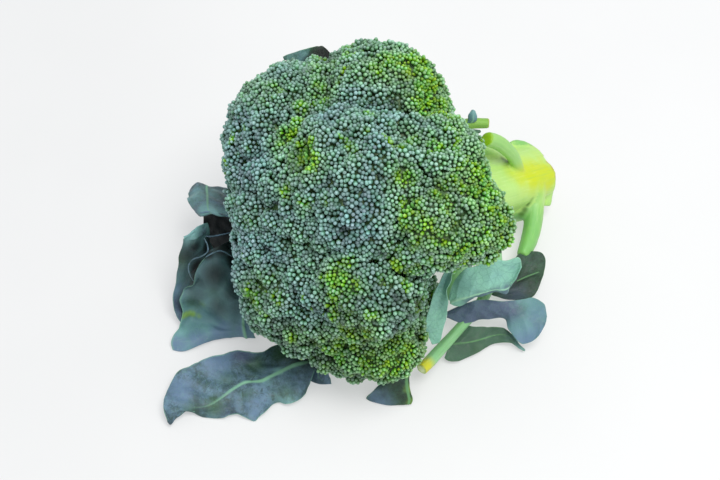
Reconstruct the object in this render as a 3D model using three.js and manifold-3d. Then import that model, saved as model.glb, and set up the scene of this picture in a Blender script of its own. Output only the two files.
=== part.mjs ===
// A head of broccoli lying on its side, crown towards -Y, cut stalk end towards +Y, millimetres, +Z up.
import * as THREE from "three";
import { mergeVertices } from "three/addons/utils/BufferGeometryUtils.js";
import Module from "manifold-3d";

// Driving dimensions, in millimetres.
const SHIFT = [8.86, 0.9, 0]; // moves the foot of the bounding box's centre line to the origin
const GAP = 0.3; // clearance between neighbouring solids
const CAP_DEPTH = 25; // least thickness of a floret's head, from its outer buds to its underside
const LOBE_DETAIL = 5; // divisions of a floret's surface
const BLEND = 5; // how softly neighbouring florets run into one another
const BLEND_GROUPS = 2.5; // the same between the groups below, which keep a cleft
const CLUSTER_PITCH = 14; // spacing of the small domes on a floret
const CLUSTER_RADIUS = 12.5; // radius of a small dome
const LEAF_THICKNESS = 1.3; // blade
const BRANCH_ROOT_RADIUS = 6.0; // floret branch where it leaves the stalk
const BRANCH_TIP_RADIUS = 7.5; // floret branch where it spreads under the floret
const STALK_SIDES = 22;
const STALK_RIDGE = 0.045; // depth of the stalk's lengthwise ridges, as a share of its radius
const STALK_RIDGES = 5;
const GROUPS = [
  ["top_a", "top_b"],
  ["right", "right_low", "centre_right", "rim_right", "rim_top", "right_rim"],
  ["bottom", "bottom_right"],
]; // the rest form one more group
const TWIN = { top_a: "top", top_b: "top", right_rim: "right_low", centre_right: "right_low" }; // heads grown together, one solid
const CROWN_ROOT = [-1.2, 39, 45.6]; // where the branches meet in the stalk's top

// Primary florets: name, centre, outer radius.
const LOBES = [
  ["top_a", [-21, 14.6, 103.2], 22.1],
  ["top_b", [-15.5, 22.6, 105.9], 20.4],
  ["upper_left", [-36.1, -9, 78.3], 36],
  ["left", [-10.2, -23, 71.8], 32.9],
  ["low_left", [8.3, -33.7, 48.9], 31.9],
  ["bottom", [25.2, -25.3, 34.6], 24.1],
  ["bottom_right", [39.7, -20.8, 36.5], 17.5],
  ["right_low", [41.2, 15, 89], 16.5],
  ["right", [22, 16.6, 101.6], 21.7],
  ["centre", [10.3, -8.6, 92.7], 34.8],
  ["centre_right", [42.7, 1, 94.5], 20.7],
  ["low_centre", [37.3, -23.5, 70.1], 23.8],
  ["right_rim", [53.1, 19.9, 89.4], 11.7],
  ["recess", [25.8, 5.3, 34.5], 13.3],
  ["back_left", [-44, -10.4, 52], 26.8],
  ["low_back", [-27, -23, 29.2], 26],
  ["under", [0, -23.4, 24.3], 26.8],
  ["rim_left", [-51, 12.8, 71.1], 19.8],
  ["rim_top_left", [-37.7, 23.6, 93.1], 20.6],
  ["rim_top", [-1.7, 26.2, 97.5], 13.1],
  ["rim_right", [35, 21.6, 66.3], 10.8],
];

// Leaf blades: rows of points from the base to the tip, each row from one margin to the other.
const BLADES = {
  leaf_front: [
    [[16.8, -35.3, 9], [18.7, -37, 8], [19.9, -38.7, 7], [21.7, -40.9, 7], [23.1, -42.7, 7]],
    [[5.7, -38.6, 3], [10.3, -40.9, 2.5], [17.2, -44.3, 6.5], [22.2, -46.3, 5.5], [26.7, -48, 4]],
    [[0.4, -47.4, 4], [6, -48.2, 2], [15.3, -50.9, 6], [25.2, -52.7, 5], [29.9, -51.9, 2.5]],
    [[3, -57.9, 8], [5.8, -57.3, 2.5], [15, -59.3, 6], [23.4, -59.6, 5], [29.7, -59.4, 2]],
    [[0.1, -63.2, 10], [3.7, -63.1, 3.5], [14.2, -65.9, 5.5], [22.6, -66.7, 5], [26.4, -64.5, 1.8]],
    [[-2.3, -70.4, 10.5], [1.7, -69.5, 4.5], [11.5, -71.4, 5.5], [22, -73.9, 4.5], [27.5, -72.2, 1.5]],
    [[-4.5, -78.1, 11], [1.8, -77.5, 6], [12.1, -78.2, 5.5], [20.5, -78, 3.5], [28.5, -76.7, 1]],
    [[-6.3, -85.7, 10], [2, -85.5, 7], [13, -85.1, 5], [17.6, -83.4, 2.5], [22.2, -81.1, 1.5]],
    [[-7.1, -93.3, 8], [2.3, -93, 7], [12.9, -91.5, 4.5], [15.9, -89.9, 2.5], [19.6, -88.1, 1]],
    [[-3.2, -100.8, 7], [4.2, -100.8, 7], [10.4, -98, 5], [12.1, -96.6, 3], [14.1, -95.9, 1]],
    [[2.1, -106, 7], [6, -105.6, 7], [9.6, -104.1, 6.5], [9.7, -102, 5], [9.6, -99.1, 4]],
    [[10.2, -109.1, 3.5], [10.7, -109, 3], [11.8, -108.6, 2.5], [11.6, -107.5, 2.5], [10.7, -106.6, 3]],
  ],
  leaf_front_bit: [
    [[15.1, -35.9, 6], [18.1, -36.2, 6], [21.4, -36.1, 6]],
    [[18.8, -42.3, 3], [22.7, -40.5, 4], [27, -37.9, 5]],
    [[22.4, -46, 1], [27.1, -43.2, 1.5], [30.5, -39.1, 2.5]],
  ],
  leaf_front_right: [
    [[42.5, -11.8, 22], [42.7, -9.4, 22], [43.9, -7.6, 22]],
    [[45.1, -14.9, 17], [46.6, -11.8, 18], [46.3, -7.5, 19]],
    [[44.7, -20.2, 10], [47.9, -15.6, 12], [50.1, -11.4, 14.5]],
    [[44.6, -25.7, 5], [49.2, -19.9, 7], [53.3, -12.9, 9]],
    [[44.3, -29.6, 1.5], [50.6, -22.3, 3], [56.9, -13.5, 4]],
    [[47, -28.2, 0.8], [53, -22.3, 1], [57.3, -14.7, 1.5]],
  ],
  leaf_left: [
    [[-23.9, -89.3, 0.9], [-20.3, -84.6, 0.9], [-19.3, -75, 1.2], [-16.1, -64, 1.5], [-9, -54.5, 2]],
    [[-27.1, -87.9, 3], [-24, -82, 3], [-22, -72.8, 4], [-16.7, -63.9, 4.5], [-10.4, -54.6, 5]],
    [[-31.5, -82, 3.5], [-32.9, -75.3, 2.5], [-27.9, -69.2, 3], [-19.5, -62.8, 5], [-15.4, -52.7, 7]],
    [[-34.8, -77.4, 7], [-34.7, -72.3, 8], [-28.2, -66.9, 10], [-23, -59.5, 10], [-21.4, -49.2, 9]],
    [[-38, -77, 15], [-35.9, -71.5, 15], [-30.4, -64.2, 16], [-27.1, -55.9, 14], [-28.5, -45.1, 11]],
    [[-37.4, -72.3, 19], [-37.3, -68.2, 20], [-33.3, -62, 23], [-31.3, -54.2, 20], [-35.6, -42, 13]],
    [[-37.1, -69.5, 24], [-37.9, -65.3, 26], [-35.9, -59.7, 28], [-35.4, -52.5, 26], [-41.1, -40.2, 17]],
    [[-39.2, -64.4, 29], [-39.5, -62.1, 30], [-38.7, -58.4, 32], [-38.1, -51.7, 31], [-44, -39.7, 23]],
    [[-39.8, -60.1, 34], [-40.4, -58.8, 34], [-39.9, -56.4, 35], [-39.6, -51.5, 35], [-44.3, -40.7, 29]],
  ],
  leaf_left_outer: [
    [[-31.7, -80.9, 4], [-30.2, -79.6, 4], [-29.1, -76.7, 4], [-27.7, -71.7, 5]],
    [[-38.8, -80.2, 9], [-38, -77.5, 9.5], [-37.2, -73.4, 9], [-37.1, -67.4, 8]],
    [[-42.3, -76.7, 16], [-41.3, -74.1, 16], [-40.4, -70.1, 15], [-41.6, -63.1, 12]],
    [[-45.9, -72.9, 24], [-44.3, -70.2, 24], [-44.2, -65.9, 22], [-46.9, -58.3, 17]],
    [[-48, -69.6, 31], [-46.1, -66.6, 31], [-45.8, -61.9, 29], [-48.9, -53.1, 23]],
    [[-49, -67, 36], [-46.8, -64.7, 36], [-46.6, -60.9, 34.5], [-50.7, -53.2, 29]],
    [[-48.6, -66.4, 39.5], [-48.5, -62.8, 41], [-50, -58.5, 41], [-53.7, -52.5, 36]],
    [[-48.8, -65.5, 38], [-46.8, -63.5, 38], [-46.5, -60.7, 38], [-49.7, -55.7, 35]],
  ],
  leaf_left_top: [
    [[-80.1, -48.2, 30], [-81.4, -43.2, 32], [-75.1, -41.1, 34], [-72.7, -36.8, 33], [-67.8, -29.1, 31]],
    [[-73.2, -52, 34], [-70.1, -48.7, 37], [-64.6, -45.9, 38.5], [-61.9, -41.7, 38], [-57.6, -33.4, 35]],
    [[-65.4, -54.4, 36], [-61, -52.3, 39], [-57.7, -49.4, 40.5], [-54.9, -45.3, 40], [-50.8, -37.1, 37]],
    [[-60, -53.6, 36], [-56.4, -52.8, 38], [-54.7, -49.5, 40], [-51.6, -46.7, 40], [-47.1, -39.1, 37]],
    [[-62.9, -50, 31], [-61.6, -48.5, 32], [-59.9, -46.3, 33], [-58, -43.2, 33], [-52.4, -36.6, 31]],
    [[-62.1, -51.3, 22], [-60.4, -48.5, 22], [-58.5, -45.4, 22], [-56.5, -42.3, 22], [-51.6, -36.7, 22]],
    [[-61.9, -53.9, 11], [-58.9, -51.4, 11], [-54.6, -48.3, 12], [-50.3, -45.3, 13], [-42.8, -39.8, 16.5]],
    [[-47.5, -60.3, 3], [-43.1, -58.4, 3.5], [-38.5, -55.5, 5], [-33.5, -50.8, 8], [-29, -45.8, 11]],
  ],
  leaf_top: [
    [[-71, 34, 70.1], [-69.9, 33.2, 67.6], [-68.4, 32.3, 64.9]],
    [[-81.6, 27.2, 81.2], [-79.1, 26.7, 77.9], [-75.8, 26.2, 73.9]],
    [[-82.5, 19.4, 84.9], [-80.6, 19.3, 82.2], [-78, 19.7, 79.2]],
    [[-81, 10.7, 86.4], [-79.7, 11, 84.3], [-78, 11.4, 82]],
    [[-80, 4.5, 86.9], [-79.5, 4.7, 86], [-78.8, 5.3, 85.1]],
  ],
  leaf_right_upright: [
    [[42.1, 5.9, 13], [42.2, 7.8, 12.5], [42.8, 9.2, 13]],
    [[38.6, 4.2, 22], [40.7, 7.6, 20.5], [42.3, 11.2, 22]],
    [[37.6, 5.6, 30], [38.7, 10.2, 28], [41.3, 13.5, 30]],
    [[36.5, 8.6, 38], [37.5, 12.1, 36], [41, 13.8, 38]],
    [[36.4, 10.9, 44], [36.5, 14, 42], [40, 13.6, 44]],
    [[36.2, 13.4, 49], [36.6, 15.5, 48], [39.9, 15.2, 49]],
    [[36.9, 15.5, 54], [37.1, 16.9, 54], [39.3, 16.9, 54]],
  ],
  leaf_right_pale: [
    [[30.8, 22, 24], [31.1, 21.9, 23], [32.1, 21.4, 23], [32.5, 21.5, 22], [33.1, 21.7, 21]],
    [[29.1, 25.9, 31], [30, 25, 29], [31.3, 24.7, 27], [34, 24.1, 24], [35.3, 24.5, 20]],
    [[29.9, 30.9, 37], [32, 29.1, 34], [34.8, 28, 30], [36.4, 28.2, 26], [36.8, 29.3, 22]],
    [[32.6, 35.2, 39], [35.1, 33.8, 35], [38.6, 32.7, 31], [38.9, 33.3, 28], [39.1, 33.9, 25]],
    [[35.2, 40.6, 43], [37.8, 39.2, 37], [41, 38.5, 31], [41.1, 38.6, 29], [41.3, 38.6, 27]],
    [[38.9, 44.9, 42], [40.4, 43.8, 36], [42.2, 43.1, 30], [43.5, 42.9, 28], [44.6, 42.3, 26]],
    [[41.4, 50.5, 43], [41.5, 49.4, 37], [42.9, 46.8, 31], [43.5, 45.5, 29], [44.1, 44.2, 27]],
    [[43.2, 51.2, 39], [43.8, 49.9, 37], [44.1, 47.9, 33], [43.9, 47.1, 32], [44, 46.6, 31]],
  ],
  leaf_right_long: [
    [[31, 21.4, 13], [32.4, 20.5, 13], [33.1, 20, 12]],
    [[33.1, 26.8, 16], [36, 25.5, 13.5], [38.9, 24.3, 11]],
    [[36.1, 32.6, 19], [39.2, 31.3, 16], [41.4, 31.1, 12]],
    [[39.8, 38.1, 20], [42.8, 36.8, 17], [44.2, 36.7, 12]],
    [[43.8, 43.4, 20], [46.6, 41.7, 17], [47.9, 41.1, 13]],
    [[46.3, 49.9, 19], [50.6, 45.4, 16], [52.8, 40.6, 10]],
    [[48.2, 57, 17], [54.7, 50.2, 15], [59.6, 41.4, 8]],
    [[51, 60.1, 15], [57.6, 54.2, 14], [61.5, 46, 8]],
    [[57, 57.4, 14], [60, 54.2, 13], [61.6, 50.1, 10]],
  ],
  leaf_right_low: [
    [[39.1, 20.5, 8], [41.7, 16.6, 7], [44, 12.4, 6]],
    [[38.6, 25.6, 9], [43.2, 19.4, 6], [47.1, 12.1, 3.5]],
    [[42.1, 29.2, 9], [45.8, 24.2, 5.5], [50, 18.2, 2]],
    [[44.9, 34.3, 8.5], [47.4, 30.7, 5], [50.2, 26.2, 2]],
    [[47.5, 39.1, 8], [48.9, 37.3, 5], [50.4, 34.8, 2.5]],
    [[50.6, 42, 6.5], [52.4, 40.8, 5], [54, 39.8, 3]],
    [[55.6, 43, 4], [57, 42.3, 3.5], [58.1, 41.9, 2.5]],
    [[59.5, 44.2, 2], [60.4, 44.1, 2], [60.7, 43.9, 1.8]],
  ],
  leaf_lower: [
    [[20.1, 69, 12], [20.9, 71.3, 12], [21.1, 73.9, 12]],
    [[21.3, 64.9, 10], [25.3, 69.8, 11], [25.3, 78.3, 12]],
    [[23.7, 59.9, 8.5], [28.9, 67.4, 9], [30.9, 76.6, 11]],
    [[26.5, 53.6, 7.5], [31.9, 63.7, 8], [35.3, 72.1, 9]],
    [[26.9, 48.9, 6], [34.7, 59.5, 6.5], [38.9, 66.8, 7.5]],
    [[27, 47.2, 5], [33.7, 54.8, 4.5], [39.3, 63.1, 5]],
    [[29.3, 49, 4], [34, 54.2, 3], [38.1, 60.2, 3]],
  ],
  leaf_shoot_tip: [
    [[-10, 56, 76.9], [-10, 56.8, 77.3], [-10, 57.6, 77.6]],
    [[-8.2, 57, 80], [-8.3, 58.1, 80.6], [-7.3, 58.5, 80]],
    [[-9.5, 57.4, 82.4], [-8.8, 58.5, 83.1], [-8, 59.6, 82.3]],
    [[-10.3, 58.9, 85], [-10.3, 59.5, 85.2], [-9.4, 59.6, 84.7]],
  ],
  leaf_shoot_low: [
    [[-11.3, 54, 77.6], [-10.7, 54.2, 77.3], [-10.2, 54.3, 77]],
    [[-6.9, 53.4, 80.1], [-5.2, 52.8, 80], [-4.7, 53.1, 78.4]],
    [[-4.3, 55.3, 80.4], [-2.9, 54.6, 80.4], [-2.5, 55, 79]],
    [[-3.1, 58.2, 79.5], [-2.7, 58.2, 79.2], [-2.3, 58.2, 79]],
  ],
};

// Stalk and leaf stalks: points along the centre line with the radius at each.
const STEMS = {
  stalk: [
    [-15.9, 100, 13.2, 15.6],
    [-12.7, 86.5, 20.3, 16],
    [-9.5, 73, 27.4, 15.6],
    [-6.4, 59.5, 34.6, 16.5],
    [-3.2, 46, 41.7, 19.5],
    [0, 32.5, 48.8, 21],
  ],
  petiole_right: [
    [50.3, -4.7, 12, 3.4],
    [48.4, 0.8, 11.5, 3.2],
    [45.5, 8, 11, 3],
    [42.3, 15.5, 10, 2.9],
    [39.3, 22.9, 9.5, 2.8],
    [36.2, 32.6, 11, 2.7],
    [33.7, 42.7, 16, 2.9],
    [30.4, 54.5, 22, 3.2],
    [21.8, 64.5, 28, 3.6],
  ],
  petiole_lower: [
    [-3.9, 91.8, 27, 4.8],
    [0.5, 93.5, 19, 4.9],
    [6.8, 89.7, 14.5, 4.6],
    [14.3, 82.4, 12, 4],
    [20.5, 72.2, 11, 2.8],
  ],
  petiole_upper: [
    [-4, 85.3, 34.8, 6.6],
    [-6.5, 80.4, 44.8, 5.6],
    [-7.1, 73.1, 56.3, 4.3],
    [-6.8, 64.3, 67.9, 3.1],
  ],
  shoot_upper: [
    [-12.7, 48.2, 75.4, 2.4],
    [-10.8, 56.3, 77.6, 2.4],
    [-7.3, 65.1, 76.5, 2.2],
  ],
  petiole_left: [
    [-35.6, -42, 13, 1.9],
    [-46, -32, 10, 2.3],
    [-49, -14, 8, 2.7],
    [-39, 14, 11, 3.2],
    [-20, 44, 26, 3.9],
  ],
  petiole_front: [
    [19.9, -38.7, 7, 2],
    [25, -14, 6.5, 2.5],
    [25, 12, 8.5, 3],
    [17, 40, 20, 3.6],
  ],
  petiole_top: [
    [-69.9, 33.2, 67.6, 1.8],
    [-46.4, 45.6, 62.8, 2.4],
    [-17, 50, 58, 3],
  ],
};

const wasm = await Module();
wasm.setup();

const V = (x, y, z) => new THREE.Vector3(x, y, z);

function toSolid(geometry) {
  const g = new THREE.BufferGeometry().setAttribute(
    "position",
    (geometry.index ? geometry.toNonIndexed() : geometry).getAttribute("position"),
  );
  const m = mergeVertices(g, 1e-4);
  return new wasm.Manifold(
    new wasm.Mesh({
      numProp: 3,
      vertProperties: new Float32Array(m.attributes.position.array),
      triVerts: new Uint32Array(m.index.array),
    }),
  );
}

function toMesh(solid, name, material) {
  const m = solid.getMesh(),
    n = m.numProp,
    p = new Float32Array(m.numVert * 3);
  for (let i = 0; i < m.numVert; i++)
    for (let k = 0; k < 3; k++) p[3 * i + k] = m.vertProperties[i * n + k] + SHIFT[k];
  const g = new THREE.BufferGeometry()
    .setAttribute("position", new THREE.BufferAttribute(p, 3))
    .setIndex(new THREE.BufferAttribute(new Uint32Array(m.triVerts), 1));
  g.computeVertexNormals();
  const mesh = new THREE.Mesh(g, material);
  mesh.name = name;
  return mesh;
}

// The largest body of a solid that a cut may have split.
function largest(solid) {
  const bodies = solid.decompose();
  bodies.sort((a, b) => b.volume() - a.volume());
  return bodies[0];
}

// Everything on the side of a plane that its normal points away from.
const BIG = 400;
function below(point, normal) {
  const g = new THREE.BoxGeometry(BIG, BIG, BIG);
  g.translate(0, 0, -BIG / 2);
  g.applyQuaternion(new THREE.Quaternion().setFromUnitVectors(V(0, 0, 1), normal.clone().normalize()));
  g.translate(point.x, point.y, point.z);
  return toSolid(g);
}
const aboveTable = below(V(0, 0, 0), V(0, 0, -1));

function spline(points, t) {
  const n = points.length,
    i = Math.min(Math.floor(t), n - 2),
    u = t - i,
    at = (k) => points[Math.max(0, Math.min(n - 1, k))],
    [a, b, c, d] = [at(i - 1), at(i), at(i + 1), at(i + 2)];
  return b.map(
    (_, k) =>
      0.5 *
      (2 * b[k] +
        (c[k] - a[k]) * u +
        (2 * a[k] - 5 * b[k] + 4 * c[k] - d[k]) * u * u +
        (3 * b[k] - a[k] - 3 * c[k] + d[k]) * u * u * u),
  );
}

// A blade of even thickness over a grid of control points.
function blade(rows, thickness, grow = 0, rowSteps = 2, colSteps = 2) {
  const nr = (rows.length - 1) * rowSteps + 1,
    nc = (rows[0].length - 1) * colSteps + 1,
    P = [];
  for (let i = 0; i < nr; i++) {
    const row = rows[0].map((_, c) => spline(rows.map((r) => r[c]), i / rowSteps));
    P.push([]);
    for (let j = 0; j < nc; j++) P[i].push(V(...spline(row, j / colSteps)));
  }
  if (grow)
    for (let i = 0; i < nr; i++) {
      P[i][0].addScaledVector(P[i][0].clone().sub(P[i][1]).normalize(), grow);
      P[i][nc - 1].addScaledVector(P[i][nc - 1].clone().sub(P[i][nc - 2]).normalize(), grow);
    }
  const N = P.map((row, i) =>
    row.map((_, j) => {
      const a = P[Math.min(i + 1, nr - 1)][j].clone().sub(P[Math.max(i - 1, 0)][j]),
        b = P[i][Math.min(j + 1, nc - 1)].clone().sub(P[i][Math.max(j - 1, 0)]);
      return a.cross(b).normalize();
    }),
  );
  const v = [],
    put = (s) =>
      P.forEach((row, i) =>
        row.forEach((p, j) => {
          const q = p.clone().addScaledVector(N[i][j], (s * (thickness + 2 * grow)) / 2);
          v.push(q.x, q.y, q.z);
        }),
      );
  put(1);
  put(-1);
  const id = (s, i, j) => (s ? nr * nc : 0) + i * nc + j,
    f = [],
    quad = (a, b, c, d) => f.push(a, b, c, a, c, d);
  for (let i = 0; i < nr - 1; i++)
    for (let j = 0; j < nc - 1; j++) {
      quad(id(0, i, j), id(0, i + 1, j), id(0, i + 1, j + 1), id(0, i, j + 1));
      quad(id(1, i, j), id(1, i, j + 1), id(1, i + 1, j + 1), id(1, i + 1, j));
    }
  for (let i = 0; i < nr - 1; i++) {
    quad(id(0, i, 0), id(1, i, 0), id(1, i + 1, 0), id(0, i + 1, 0));
    quad(id(0, i + 1, nc - 1), id(1, i + 1, nc - 1), id(1, i, nc - 1), id(0, i, nc - 1));
  }
  for (let j = 0; j < nc - 1; j++) {
    quad(id(0, 0, j + 1), id(1, 0, j + 1), id(1, 0, j), id(0, 0, j));
    quad(id(0, nr - 1, j), id(1, nr - 1, j), id(1, nr - 1, j + 1), id(0, nr - 1, j + 1));
  }
  const solid = new wasm.Manifold(
    new wasm.Mesh({ numProp: 3, vertProperties: new Float32Array(v), triVerts: new Uint32Array(f) }),
  );
  if (solid.volume() > 0) return solid;
  for (let k = 0; k < f.length; k += 3) [f[k + 1], f[k + 2]] = [f[k + 2], f[k + 1]];
  return new wasm.Manifold(
    new wasm.Mesh({ numProp: 3, vertProperties: new Float32Array(v), triVerts: new Uint32Array(f) }),
  );
}

// A round stem along a spline, closed at both ends by a slightly domed cut.
function stem(nodes, { sides = 10, steps = 2, grow = 0, ridge = 0, ridges = 0 } = {}) {
  const n = (nodes.length - 1) * steps + 1,
    C = [],
    R = [];
  for (let i = 0; i < n; i++) {
    const q = spline(nodes, i / steps);
    C.push(V(q[0], q[1], q[2]));
    R.push(q[3] + grow);
  }
  const v = [],
    f = [];
  let side = null;
  for (let i = 0; i < n; i++) {
    const t = C[Math.min(i + 1, n - 1)].clone().sub(C[Math.max(i - 1, 0)]).normalize();
    if (!side) side = Math.abs(t.z) < 0.9 ? V(0, 0, 1) : V(1, 0, 0);
    side = side.clone().addScaledVector(t, -side.dot(t)).normalize();
    const other = t.clone().cross(side);
    for (let k = 0; k < sides; k++) {
      const a = (2 * Math.PI * k) / sides,
        r = R[i] * (1 + ridge * Math.cos(ridges * a + 0.35 * i)),
        p = C[i].clone().addScaledVector(side, r * Math.cos(a)).addScaledVector(other, r * Math.sin(a));
      v.push(p.x, p.y, p.z);
    }
  }
  for (let i = 0; i < n - 1; i++)
    for (let k = 0; k < sides; k++) {
      const a = i * sides + k,
        b = i * sides + ((k + 1) % sides);
      f.push(a, b, b + sides, a, b + sides, a + sides);
    }
  const cap = (i, s) => {
    const t = C[i].clone().sub(C[i - s]).normalize(),
      p = C[i].clone().addScaledVector(t, 0.06 * R[i] + grow),
      c = v.length / 3;
    v.push(p.x, p.y, p.z);
    for (let k = 0; k < sides; k++) {
      const a = i * sides + k,
        b = i * sides + ((k + 1) % sides);
      s > 0 ? f.push(a, b, c) : f.push(b, a, c);
    }
  };
  cap(n - 1, 1);
  cap(0, -1);
  const made = () =>
    new wasm.Manifold(new wasm.Mesh({ numProp: 3, vertProperties: new Float32Array(v), triVerts: new Uint32Array(f) }));
  const solid = made();
  if (solid.volume() > 0) return solid;
  for (let k = 0; k < f.length; k += 3) [f[k + 1], f[k + 2]] = [f[k + 2], f[k + 1]];
  return made();
}

// Distance to the crown's outer surface: the florets' balls, run softly together.
const groupOf = (name) => GROUPS.findIndex((g) => g.includes(name)),
  groups = [-1, ...GROUPS.keys()].map((k) => LOBES.filter(([name]) => groupOf(name) === k));
function softMin(values, k) {
  const least = Math.min(...values);
  return least - k * Math.log(values.reduce((sum, v) => sum + Math.exp((least - v) / k), 0));
}
const crownAt = (p) =>
  softMin(
    groups.map((g) =>
      softMin(
        g.map(([, c, r]) => Math.hypot(p.x - c[0], p.y - c[1], p.z - c[2]) - r),
        BLEND,
      ),
    ),
    BLEND_GROUPS,
  );

// A floret's outer surface: a ball swollen to the crown's surface and covered with small domes.
function bumpyBall(centre, radius, grow = 0) {
  const g = new THREE.IcosahedronGeometry(radius, radius < 15 ? 3 : LOBE_DETAIL),
    p = g.getAttribute("position"),
    count = Math.round((4 * Math.PI * radius * radius) / (CLUSTER_PITCH * CLUSTER_PITCH)),
    dirs = [];
  for (let i = 0; i < count; i++) {
    const z = 1 - (2 * i + 1) / count,
      a = 2.399963 * i,
      s = Math.sqrt(1 - z * z);
    dirs.push(V(s * Math.cos(a), z, s * Math.sin(a)));
  }
  for (let i = 0; i < p.count; i++) {
    const d = V(p.getX(i), p.getY(i), p.getZ(i)).normalize();
    let reach = radius;
    for (let k = 0; k < 6; k++) {
      reach -= crownAt(centre.clone().addScaledVector(d, reach));
      reach = Math.max(radius, Math.min(radius + BLEND, reach));
    }
    let best = -1;
    for (const e of dirs) best = Math.max(best, d.dot(e));
    const off = Math.min(radius * Math.acos(Math.min(1, best)), 0.75 * CLUSTER_PITCH),
      r = reach - CLUSTER_RADIUS + Math.sqrt(CLUSTER_RADIUS ** 2 - off ** 2) + grow;
    p.setXYZ(i, centre.x + d.x * r, centre.y + d.y * r, centre.z + d.z * r);
  }
  return toSolid(g);
}

const root = new THREE.Group();
root.name = "broccoli_head";
const paint = (r, g, b, roughness) =>
  new THREE.MeshStandardMaterial({ color: new THREE.Color().setRGB(r, g, b, THREE.SRGBColorSpace), roughness, metalness: 0 });
const budGreen = paint(0.36, 0.5, 0.4, 0.8),
  stalkGreen = paint(0.74, 0.9, 0.5, 0.5),
  leafGreen = paint(0.34, 0.47, 0.48, 0.55),
  paleLeaf = paint(0.52, 0.72, 0.65, 0.6);

// A floret is its head of buds with the branch that carries it, which ends at the stalk.
const hub = V(...CROWN_ROOT),
  balls = LOBES.map(([name, c, r]) => ({ name, c: V(...c), r }));
const familyOf = (b) => TWIN[b.name] ?? b.name,
  twins = (a, b) => familyOf(a) === familyOf(b);
for (const b of balls) {
  b.out = b.c.clone().sub(hub).normalize();
  b.under = b.c.clone().addScaledVector(b.out, b.r - Math.max(b.r, Math.min(CAP_DEPTH, 1.45 * b.r)));
  const back = (grow) => below(b.under.clone().addScaledVector(b.out, -grow), b.out.clone().negate());
  let s = bumpyBall(b.c, b.r);
  for (const o of balls) {
    if (o === b || twins(o, b)) continue;
    const d = o.c.clone().sub(b.c),
      l = d.length();
    if (l >= b.r + o.r) continue;
    const t = (l * l + b.r * b.r - o.r * o.r) / (2 * l) - GAP / 2;
    d.normalize();
    s = s.intersect(below(b.c.clone().addScaledVector(d, t), d));
  }
  b.head = largest(s.intersect(back(0)).intersect(aboveTable));
  b.cutter = bumpyBall(b.c, b.r, GAP).intersect(back(GAP));
  const tip = b.under.clone().addScaledVector(b.out, 3),
    away = tip.clone().sub(hub),
    start = hub.clone().addScaledVector(away, 9 / away.length()),
    bend = hub.clone().lerp(tip, 0.55),
    k = Math.min(1, b.r / 24);
  b.path = [
    [start.x, start.y, start.z, BRANCH_ROOT_RADIUS * k],
    [bend.x, bend.y, bend.z, (BRANCH_ROOT_RADIUS - 0.8) * k],
    [tip.x, tip.y, tip.z, BRANCH_TIP_RADIUS * k],
  ];
}
const branch = (b, grow) => stem(b.path, { sides: 7, steps: 1, grow }),
  stemOf = (name, grow) => stem(STEMS[name], { sides: 9, steps: 2, grow }),
  bladeOf = (name, grow) => blade(BLADES[name], LEAF_THICKNESS, grow, 2, BLADES[name][0].length > 3 ? 1 : 2),
  trunk = (grow) =>
    stem(STEMS.stalk, { sides: STALK_SIDES, steps: 2, grow, ridge: STALK_RIDGE, ridges: STALK_RIDGES });

let stalk = trunk(0).intersect(aboveTable);
for (const b of balls) stalk = stalk.subtract(b.cutter);
root.add(toMesh(largest(stalk), "stalk", stalkGreen));
const used = [trunk(GAP)];
for (const family of new Set(balls.map(familyOf))) {
  const heads = balls.filter((b) => familyOf(b) === family),
    others = balls.filter((b) => familyOf(b) !== family);
  let s = heads.map((b) => branch(b, 0)).reduce((a, b) => a.add(b)).intersect(aboveTable);
  for (const o of others) s = s.subtract(o.cutter);
  for (const u of used) s = s.subtract(u);
  for (const b of heads) used.push(branch(b, GAP));
  root.add(toMesh(largest(heads.reduce((a, b) => a.add(b.head), s)), "floret_" + family, budGreen));
}
for (const b of balls) used.push(b.cutter);

// Leaves: each is its blades joined to its leaf stalk.
function leaf(name, stems, blades, material) {
  const all = (grow) => [...stems.map((n) => stemOf(n, grow)), ...blades.map((n) => bladeOf(n, grow))];
  let s = all(0).reduce((a, b) => a.add(b)).intersect(aboveTable);
  for (const u of used) s = s.subtract(u);
  used.push(...all(GAP));
  root.add(toMesh(largest(s), name, material));
}
leaf("leaf_front", ["petiole_front"], ["leaf_front"], leafGreen);
leaf("leaf_left", ["petiole_left"], ["leaf_left", "leaf_left_outer", "leaf_left_top"], leafGreen);
leaf("leaf_front_right", [], ["leaf_front_right"], leafGreen);
leaf("leaf_front_bit", [], ["leaf_front_bit"], leafGreen);
leaf("leaf_top", ["petiole_top"], ["leaf_top"], leafGreen);
leaf("leaf_stalk_right", ["petiole_right"], [], stalkGreen);
leaf("leaf_right_upright", [], ["leaf_right_upright"], paleLeaf);
leaf("leaf_right_pale", [], ["leaf_right_pale"], paleLeaf);
leaf("leaf_right_long", [], ["leaf_right_long"], leafGreen);
leaf("leaf_right_low", [], ["leaf_right_low"], leafGreen);
leaf("leaf_lower", ["petiole_lower"], ["leaf_lower"], leafGreen);
leaf("leaf_stalk_cut", ["petiole_upper"], [], stalkGreen);
leaf("shoot_upper", ["shoot_upper"], ["leaf_shoot_tip", "leaf_shoot_low"], stalkGreen);

export default root;
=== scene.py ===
import math

import bpy
import numpy as np
from mathutils import Matrix
from mathutils.kdtree import KDTree


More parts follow.
